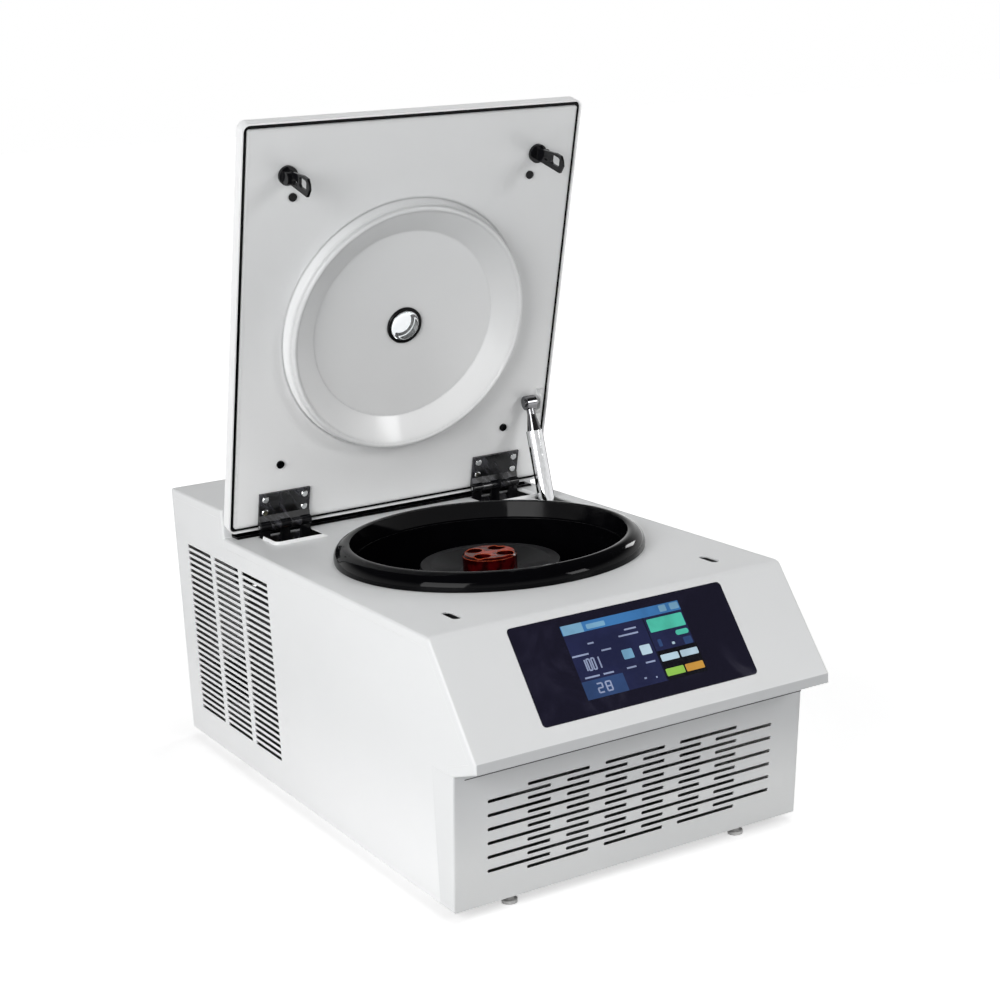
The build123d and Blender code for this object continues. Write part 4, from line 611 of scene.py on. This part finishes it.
class CYTO_OT_display(bpy.types.Operator):
    """Lay the lit picture of keys and plain numbers on the screen glass"""

    bl_idname = "cyto.display"
    bl_label = "Lit display"

    def execute(self, context):
        picture = context.scene.cyto_display
        down, normal, face_height = slab_axes("screen_glass")
        low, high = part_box("lcd_module")
        middle = np.array((low + high) / 2)
        middle = middle + normal * (face_height - middle @ normal)
        across = np.array([1.0, 0.0, 0.0])
        colours = ("ground", "black", "blue", "header", "sky", "key", "pale", "lilac", "green", "amber")
        materials = [lit_pixels("Display " + each, getattr(picture, each + "_colour"), picture.glow)
                     for each in colours]
        points, faces, paints = [], [], []
        base_layer, field_layer, key_layer = 1, 2, 3
        field_corner, pill_corner, line_corner = 0.6 * MM, 2.8 * MM, picture.layer
        line_length, bar_width, level_bar_length = 0.022, 0.012, 0.0192

        def tile(x, y, width, length, colour, layer, corner=None):
            """A rounded tile: x from the middle rightward, y from the top down, in shares of the picture."""
            outline = rounded_tile(width * picture.width, length * picture.length,
                                   picture.corner if corner is None else corner)
            centre = middle + across * x * picture.width + down * (y - 0.5) * picture.length
            centre = centre + normal * picture.layer * layer
            ring = centre + outline[:, :1] * across - outline[:, 1:] * down
            start = sum(len(part) for part in points)
            points.append(ring)
            faces.append(list(range(start, start + len(ring))))
            paints.append(colours.index(colour))

        def number(digits, x, y, pitch, width, height):
            """Plain digits in a row: the first one's middle is at x and y, the next a pitch to the right."""
            for place, digit in enumerate(digits):
                for bar in BARS_OF_DIGIT[digit]:
                    right, below, level = DIGIT_BARS[bar]
                    size = (width, level_bar_length) if level else (bar_width, height / 2)
                    middle_x = x + place * pitch + right * width
                    tile(middle_x, y + below * height, *size, "lilac", key_layer, line_corner)

        tile(0, 0.5, 1, 1, "ground", base_layer, field_corner)
        tile(0, 0.065, 1, 0.13, "header", field_layer, field_corner)
        tile(-0.41, 0.065, 0.17, 0.13, "sky", key_layer, field_corner)
        tile(-0.22, 0.075, 0.155, 0.065, "sky", key_layer)
        for x, width in ((0.355, 0.06), (0.455, 0.075)):
            tile(x, 0.06, width, 0.09, "sky", key_layer)
        tile(0.34, 0.8, 0.34, 0.4, "black", field_layer, field_corner)
        tile(0.165, 0.56, 0.006, 0.86, "black", field_layer, line_corner)
        tile(-0.33, 0.88, 0.34, 0.24, "blue", field_layer, field_corner)
        tile(0.338, 0.255, 0.305, 0.18, "key", key_layer)
        tile(0.435, 0.42, 0.11, 0.07, "key", key_layer, pill_corner)
        tile(0.455, 0.545, 0.07, 0.1, "blue", key_layer)
        tile(0.225, 0.5, 0.03, 0.1, "blue", key_layer)
        tile(0.33, 0.54, 0.025, 0.035, "pale", key_layer)
        for column in range(2):
            tile(-0.06 + column * 0.152, 0.54, 0.088, 0.13, ("sky", "pale")[column], key_layer)
            tile(0.258 + column * 0.168, 0.703, 0.15, 0.09, "pale", key_layer)
            tile(0.256 + column * 0.168, 0.9, 0.155, 0.1, ("green", "amber")[column], key_layer)
        for x, y, width in (
            (0.035, 0.225, 0.1), (0.004, 0.295, 0.166), (-0.313, 0.294, 0.05), (-0.427, 0.42, 0.135),
            (-0.213, 0.42, 0.08), (-0.073, 0.72, 0.08), (0.09, 0.71, 0.08), (-0.4, 0.72, 0.12),
            (-0.265, 0.72, 0.085), (0.0, 0.9, 0.02), (0.09, 0.92, 0.012),
        ):
            tile(x, y, width, line_length, "lilac", key_layer, line_corner)
        number("1001", x=-0.425, y=0.56, pitch=0.038, width=0.022, height=0.15)
        number("28", x=-0.37, y=0.88, pitch=0.07, width=0.04, height=0.12)
        add_piece("display_picture", np.concatenate(points), faces, materials, "cabinet",
                  paints)
        return {"FINISHED"}


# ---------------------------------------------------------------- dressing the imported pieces
def dress(recipes):
    """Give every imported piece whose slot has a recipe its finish."""
    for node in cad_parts.values():
        for material_slot in node.material_slots:
            name = material_slot.material.name
            if name in recipes:
                material_slot.material = recipes[name]


def dress_node(node_name, material):
    """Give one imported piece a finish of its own."""
    for material_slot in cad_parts[node_name].material_slots:
        material_slot.material = material


class CYTO_OT_casing(bpy.types.Operator):
    """Paint the cabinet, the lid and the front grille"""

    bl_idname = "cyto.casing"
    bl_label = "Casing paint"

    def execute(self, context):
        casing = context.scene.cyto_casing

        def paint(name, colour, **settings):
            """Paint of that colour with the casing's roughness and peel."""
            return sprayed_paint(name, colour, casing.roughness, casing.peel, **settings)

        recipes = {
            "cabinet_paint": paint("Cabinet Paint", casing.cabinet_colour),
            # Lid liner: lighter towards its lower end as painted light.
            "lid_paint": paint("Lid Paint", casing.lid_colour, edge_lift=1.0, edge_radius=6 * MM,
                               foot_colour=casing.liner_painted_light, foot_span=(0.70, 0.38),
                               Coat_Weight=0.5, Coat_Roughness=0.11),
            # Grille: darker front faces as painted shade, lighter towards the floor as painted light,
            # near-black slot walls as painted shade.
            "grille_paint": paint("Grille Paint", casing.grille_painted_shade_colour, side_colour=casing.cabinet_colour,
                                  foot_colour=casing.grille_painted_light, foot_span=(0.16, 0.05),
                                  cut_edges=True),
        }
        dress(recipes)
        # Side and rear panels: lighter towards the floor as painted light, near-black slot walls as painted
        # shade.
        slotted_paint_with_painted_light = paint("Slotted Paint", casing.cabinet_colour, foot_colour=casing.cover_colour,
                              foot_span=(0.2, 0.03), cut_edges=True)
        for name in ("side_panel_left", "side_panel_right", "rear_panel"):
            dress_node(name, slotted_paint_with_painted_light)
        # Deck: its lip's front face is darker as painted shade.
        dress_node("deck_panel", paint("Deck Paint", casing.cabinet_colour, front_colour=casing.lip_colour))
        self.add_seam()
        cover_paint = paint("Lid Cover Paint", casing.cover_colour)
        dress_node("lid_shell", cover_paint)
        self.add_drip_lips(cover_paint)
        return {"FINISHED"}

    def add_seam(self):
        """A near-black seam across the front, where the slope's turned-in flange ends on the grille panel:
        painted shade in the gap.

        It is a ribbon on the panel's leaning face: at share s of the width and rise t from the seam's middle,
        x is the left end plus s times the width, z is the seam's height plus t, and y is the face's own at z.
        """
        start, end = 0.03, 0.998
        below_top, half_height, proud = 6 * MM, 0.55 * MM, 0.06 * MM
        columns, rows = 24, 3
        points = packed_points("front_panel")
        low, high = points.min(axis=0), points.max(axis=0)
        foot_y = points[points[:, 2] < low[2] + MM, 1].min()
        head_y = points[points[:, 2] > high[2] - MM, 1].min()
        shares, rises = np.linspace(start, end, columns), np.linspace(-half_height, half_height, rows)
        share, rise = np.meshgrid(shares, rises, indexing="ij")
        height = high[2] - below_top + rise
        depth = head_y + (foot_y - head_y) * (high[2] - height) / (high[2] - low[2]) - proud
        ribbon = np.stack([low[0] + share * (high[0] - low[0]), depth, height], axis=-1)
        # Painted shade: the seam's ribbon is near-black.
        seam_shade = moulded("Seam Rubber", (0.03, 0.03, 0.032), roughness=0.6)
        add_piece("front_seam", ribbon.reshape(-1, 3), grid_faces(columns, rows), [seam_shade], "cabinet")

    def add_drip_lips(self, material):
        """A raised lip on the deck along the outer side and the front of each hinge opening.

        Its path runs forward, turns a corner of radius r at angle a as (1 - cos a, -sin a) r and runs inward.
        At angle b its section is width cos b across the path and height sin b above the deck. Both fade to
        the thinnest share at the inner end.
        """
        (low, _, _), (high, _, _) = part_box("hinge_leaves")
        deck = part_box("deck_panel")[1][2]
        corner, width, height = 7 * MM, 1.6 * MM, 4.2 * MM
        front, back, reach = 148 * MM, 188 * MM, 70 * MM
        outside, over_deck, fade_run, thinnest = 1 * MM, 0.02 * MM, 6 * MM, 0.25
        bend = np.linspace(0, pi / 2, 8)
        forward = np.linspace(back, front + corner, 6, False)
        inward = np.linspace(corner, reach, 12)[1:]
        side_run = np.column_stack([np.zeros_like(forward), forward])
        turn_run = np.column_stack([(1 - np.cos(bend)) * corner, front + corner - corner * np.sin(bend)])
        front_run = np.column_stack([inward, np.full_like(inward, front)])
        path = np.concatenate([side_run, turn_run, front_run])
        step = np.gradient(path, axis=0)
        step /= np.linalg.norm(step, axis=1)[:, None]
        beside = np.column_stack([step[:, 1], -step[:, 0]])
        section = np.linspace(0, pi, 9)
        fade = np.clip((reach - path[:, 0]) / fade_run, thinnest, 1.0)[:, None]
        flat = path[:, None, :] + beside[:, None, :] * (width * fade * np.cos(section))[..., None]
        rise = deck + over_deck + height * fade * np.sin(section)
        for side, start, name in ((1, low - outside, "left"), (-1, high + outside, "right")):
            points = np.stack([start + side * flat[..., 0], flat[..., 1], rise], axis=-1).reshape(-1, 3)
            faces = grid_faces(len(path), len(section), closed_columns=True)
            faces += [list(range(len(section)))[::-1], list(range(len(points) - len(section), len(points)))]
            if side < 0:
                faces = [face[::-1] for face in faces]
            add_piece("drip_lip_" + name, points, faces, [material], "cabinet")


class CYTO_OT_chamber(bpy.types.Operator):
    """Finish the chamber, its gasket, the rotor and the red knob"""

    bl_idname = "cyto.chamber"
    bl_label = "Chamber and rotor"

    def execute(self, context):
        chamber = context.scene.cyto_chamber
        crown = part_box("rotor_knob")[1][2]
        recipes = {
            "bowl_enamel": gloss_black("Bowl Enamel", chamber.bowl_colour, roughness=0.08, specular=0.14),
            "black_rubber": gloss_black("Polished Rubber", chamber.rubber_colour, roughness=0.06,
                                        specular=0.08),
            "rotor_anodised": gloss_black("Anodised Rotor", chamber.rotor_colour, roughness=0.34,
                                          specular=0.06),
            "knob_red": red_with_painted_light("Knob Red", chamber.knob_colour, roughness=0.1,
                                        lit_colour=chamber.knob_crown_painted_light, crown=crown),
        }
        dress(recipes)
        return {"FINISHED"}


class CYTO_OT_metalwork(bpy.types.Operator):
    """Finish hinges, hooks, strut, screws and the other bare or plated metal"""

    bl_idname = "cyto.metalwork"
    bl_label = "Metalwork"

    def execute(self, context):
        metal = context.scene.cyto_metal
        chrome = {"scale": 500.0, "depth": 0.01 * MM}
        recipes = {
            "bright_steel": drawn_metal("Bright Steel", metal.bright_colour, roughness=0.06, **chrome),
            "spindle_steel": drawn_metal("Ground Steel", metal.spindle_colour, roughness=0.22,
                                         stretch=(1.0, 1.0, 0.05)),
            "black_steel": gloss_black("Black Steel", metal.black_colour, roughness=0.08, specular=0.2),
            "aluminium": drawn_metal("Aluminium", metal.aluminium_colour, roughness=0.3,
                                     stretch=(1.0, 0.03, 1.0)),
            "zinc_sheet": spangled_zinc("Zinc Sheet", (0.62, 0.63, 0.64), roughness=0.32),
            "copper": drawn_metal("Copper", (0.78, 0.36, 0.2), roughness=0.24, stretch=(1.0, 0.05, 1.0),
                                  scale=400.0),
            "cast_housing": moulded("Cast Housing", (0.05, 0.05, 0.053), roughness=0.5, scale=70.0,
                                    depth=0.2 * MM),
        }
        dress(recipes)
        painted_streak_black = black_with_painted_streaks("Streaked Black", metal.black_colour, roughness=0.16)
        # The zinc hinge beam is turned black as painted shade inside the hinge openings; the leaves carry
        # painted reflection streaks.
        for name in ("hinge_leaves", "hinge_beam"):
            dress_node(name, painted_streak_black)
        # Strut socket: chrome darkened as a painted reflection.
        chrome_painted_dark = drawn_metal("Dark Chrome", metal.socket_chrome_painted_dark, roughness=0.06, depth=0.01 * MM,
                                  painted_dark_reflection=True)
        dress_node("strut_socket", chrome_painted_dark)
        tube_chrome = drawn_metal("Tube Chrome", metal.bright_colour, roughness=0.05, painted_dark_reflection=True,
                                  **chrome)
        for name in ("strut_tube", "strut_rod"):
            dress_node(name, tube_chrome)
        return {"FINISHED"}


class CYTO_OT_mouldings(bpy.types.Operator):
    """Finish plastics, matt rubber, foam, the circuit board and the glass"""

    bl_idname = "cyto.mouldings"
    bl_label = "Mouldings and glass"

    def execute(self, context):
        recipes = {
            "grey_rubber": moulded("Matt Rubber", (0.1, 0.1, 0.1), roughness=0.7, scale=120.0),
            "foot_plastic": moulded("Foot Plastic", (0.68, 0.68, 0.67), roughness=0.45),
            "foam": moulded("Foam", (0.78, 0.72, 0.52), roughness=0.9, scale=160.0, depth=0.6 * MM),
            "black_plastic": moulded("Black Plastic", (0.02, 0.02, 0.021), roughness=0.42),
            "board_green": moulded("Circuit Board", (0.02, 0.13, 0.05), roughness=0.35, scale=200.0),
            "screen_navy": screen_glass_finish("Screen Navy", (0.010, 0.009, 0.022), roughness=0.08),
            "clear_window": clear_window("Clear Window", (0.9, 0.93, 0.95), roughness=0.03),
        }
        dress(recipes)
        polished = gloss_black("Polished Plastic", (0.0015, 0.0015, 0.002), roughness=0.08, specular=0.15)
        for name in ("viewport_ring", "lid_plugs"):
            dress_node(name, polished)
        self.add_window_ring(polished)
        return {"FINISHED"}

    def add_window_ring(self, material):
        """The retaining ring at the window's outer end, on the lid's cover.

        It is a ring of revolution about the window's axis: at angle a round the axis and b round the section,
        the distance from the axis is radius + half width cos b, and the height over the window is
        seat + half rise sin b, in millimetres.
        """
        radius, half_width, seat, half_rise = 17.4, 2.2, 0.9, 0.7
        turns, sides = 48, 10
        points = packed_points("viewport_lens")
        centre = (points.min(axis=0) + points.max(axis=0)) / 2
        lid_out = slab_axes("lid_shell")[1]
        lid_out *= np.sign(lid_out[1])
        centre = centre + lid_out * ((points - centre) @ lid_out).max()
        across, along = np.array([1.0, 0.0, 0.0]), np.cross(lid_out, (1.0, 0.0, 0.0))
        round_axis, round_section = (np.linspace(0, 2 * pi, count, False) for count in (turns, sides))
        turn, section = np.meshgrid(round_axis, round_section, indexing="ij")
        reach = (radius + half_width * np.cos(section)) * MM
        rise = (seat + half_rise * np.sin(section)) * MM
        ring = centre + (reach * np.cos(turn))[..., None] * across
        ring = ring + (reach * np.sin(turn))[..., None] * along + rise[..., None] * lid_out
        faces = grid_faces(turns, sides, closed_rows=True, closed_columns=True)
        add_piece("window_ring", ring.reshape(-1, 3), faces, [material], "lid")


# ---------------------------------------------------------------- studio
def background_ray(tree):
    """1 for a camera, glossy or transmission ray and 0 for light that falls on the object."""
    path = tree.add("ShaderNodeLightPath").outputs
    sharp = tree.maths("MAXIMUM", path["Is Camera Ray"], path["Is Glossy Ray"])
    return tree.maths("MAXIMUM", sharp, path["Is Transmission Ray"])


def add_lamp(name, place, target, size, power, mirrored=True):
    """A square area lamp at place that shines on target; mirrored says whether gloss shows it."""
    light = bpy.data.lights.new(name, "AREA")
    light.size = size
    light.energy = power
    lamp = bpy.data.objects.new(name, light)
    lamp.location = place
    lamp.visible_glossy = mirrored
    lamp.rotation_euler = (Vector(target) - Vector(place)).to_track_quat("-Z", "Y").to_euler()
    bpy.context.scene.collection.objects.link(lamp)


class CYTO_OT_stage(bpy.types.Operator):
    """Set the floor, the pale background, the lamps and the camera"""

    bl_idname = "cyto.stage"
    bl_label = "Studio"

    def execute(self, context):
        studio = context.scene.cyto_studio
        context.scene.view_settings.view_transform = "Standard"
        self.add_floor(studio)
        self.add_sky(context.scene, studio)
        low, high = cad_box
        middle = (Vector(low) + Vector(high)) / 2
        add_lamp("key_lamp", (-2.5, -1.3, 1.35), middle, size=1.7, power=studio.key_power)
        add_lamp("right_lamp", (1.7, -2.3, 1.5), middle, size=0.8, power=studio.right_power)
        add_lamp("rim_lamp", (2.4, 0.9, 1.4), middle, size=0.5, power=studio.rim_power)
        add_lamp("top_lamp", (0.5, 0.2, 2.6), middle, size=1.2, power=studio.top_power, mirrored=False)
        self.add_camera(context.scene, studio)
        return {"FINISHED"}

    def add_floor(self, studio):
        """A flat square floor under the feet that looks white to the camera and keeps the object's shadow."""
        material, tree, put = new_material("Pale Floor", Roughness=0.6, Specular_IOR_Level=0.1)
        cloud = use_group(tree, "Mottle", {"Scale": 1.5})
        tone = tree.mixed(cloud["Cloud"], rgba(studio.floor_colour), rgba(studio.floor_colour, 0.99))
        tree.links.new(tone, put["Base Color"])
        place = tree.add("ShaderNodeTexCoord").outputs["Object"]
        near, far = 0.5, 1.7
        distance = tree.add("ShaderNodeVectorMath", {0: place}, operation="LENGTH").outputs["Value"]
        lift = tree.spread(distance, near, far, studio.floor_lift, 1.0)
        lift = tree.maths("MULTIPLY", background_ray(tree), lift)
        glow = tree.add("ShaderNodeEmission", {"Color": (1, 1, 1, 1), "Strength": lift})
        floor_shader = tree.nodes["Principled BSDF"].outputs[0]
        both = tree.add("ShaderNodeAddShader", {0: floor_shader, 1: glow.outputs[0]})
        tree.links.new(both.outputs[0], tree.nodes["Material Output"].inputs["Surface"])
        side = studio.floor_size
        corners = rounded_tile(side, side, side / 20)
        points = np.column_stack([corners, np.zeros(len(corners))])
        mesh = bpy.data.meshes.new("floor")
        mesh.from_pydata(points.tolist(), [], [list(range(len(points)))])
        mesh.materials.append(material)
        floor = bpy.data.objects.new("floor", mesh)
        bpy.context.scene.collection.objects.link(floor)

    def add_sky(self, scene, studio):
        """Plain light from all round. The camera and gloss see it white low down and dark high up."""
        world = bpy.data.worlds.new("studio_sky")
        world.use_nodes = True
        tree = Tree(world.node_tree)
        direction = tree.add("ShaderNodeTexCoord").outputs["Generated"]
        height = tree.add("ShaderNodeSeparateXYZ", {0: direction}).outputs["Z"]
        white_up_to, dark_from, dark = 0.12, 0.5, 0.06
        seen = tree.spread(height, white_up_to, dark_from, 1.0, dark)
        strength = tree.add("ShaderNodeMix", {0: background_ray(tree), 2: studio.sky, 3: seen}).outputs[0]
        tree.links.new(strength, tree.nodes["Background"].inputs["Strength"])
        tree.nodes["Background"].inputs["Color"].default_value = (1, 1, 1, 1)
        scene.world = world

    def add_camera(self, scene, studio):
        """The camera at the front left, half a metre above the deck and looking a little down."""
        place = Vector((-1.1082, -2.0261, 0.9074))
        right = Vector((0.86079, -0.50599, -0.05490))
        up = Vector((0.16211, 0.17032, 0.97196))
        back = right.cross(up)
        camera_data = bpy.data.cameras.new("camera")
        camera_data.lens = studio.lens
        camera_data.sensor_width = 36.0
        camera = bpy.data.objects.new("camera", camera_data)
        axes = Matrix((right, up, back)).transposed().to_4x4()
        camera.matrix_world = Matrix.Translation(place) @ axes
        scene.collection.objects.link(camera)
        scene.camera = camera


class CYTO_PT_panel(bpy.types.Panel):
    """Lists the centrifuge's settings and steps in the sidebar"""

    bl_idname = "CYTO_PT_panel"
    bl_label = "Cytocentrifuge"
    bl_space_type = "VIEW_3D"
    bl_region_type = "UI"
    bl_category = "Centrifuge"

    def draw(self, context):
        for name, settings in SETTINGS.items():
            box = self.layout.box()
            group = getattr(context.scene, name)
            for key in settings.__annotations__:
                box.prop(group, key)
        for operator in OPERATORS:
            self.layout.operator(operator.bl_idname)


OPERATORS = (
    CYTO_OT_casing, CYTO_OT_chamber, CYTO_OT_metalwork, CYTO_OT_mouldings, CYTO_OT_display, CYTO_OT_stage,
)
CLASSES = (*SETTINGS.values(), *OPERATORS, CYTO_PT_panel)


def register():
    """Register the classes and hang the settings on the scene."""
    for each in CLASSES:
        bpy.utils.register_class(each)
    for name, settings in SETTINGS.items():
        setattr(bpy.types.Scene, name, PointerProperty(type=settings))


def unregister():
    """Take the settings off the scene and the classes back out."""
    for name in SETTINGS:
        delattr(bpy.types.Scene, name)
    for each in reversed(CLASSES):
        bpy.utils.unregister_class(each)


def main():
    """Register the add-on, build the shared groups and run each step in order."""
    register()
    for build in (build_paint_skin, build_edge_wear_and_highlight, build_drawn_grain, build_handling_marks, build_mottle):
        build()
    for operator in OPERATORS:
        group_name, step = operator.bl_idname.split(".")
        getattr(getattr(bpy.ops, group_name), step)()


if __name__ == "__main__":
    main()
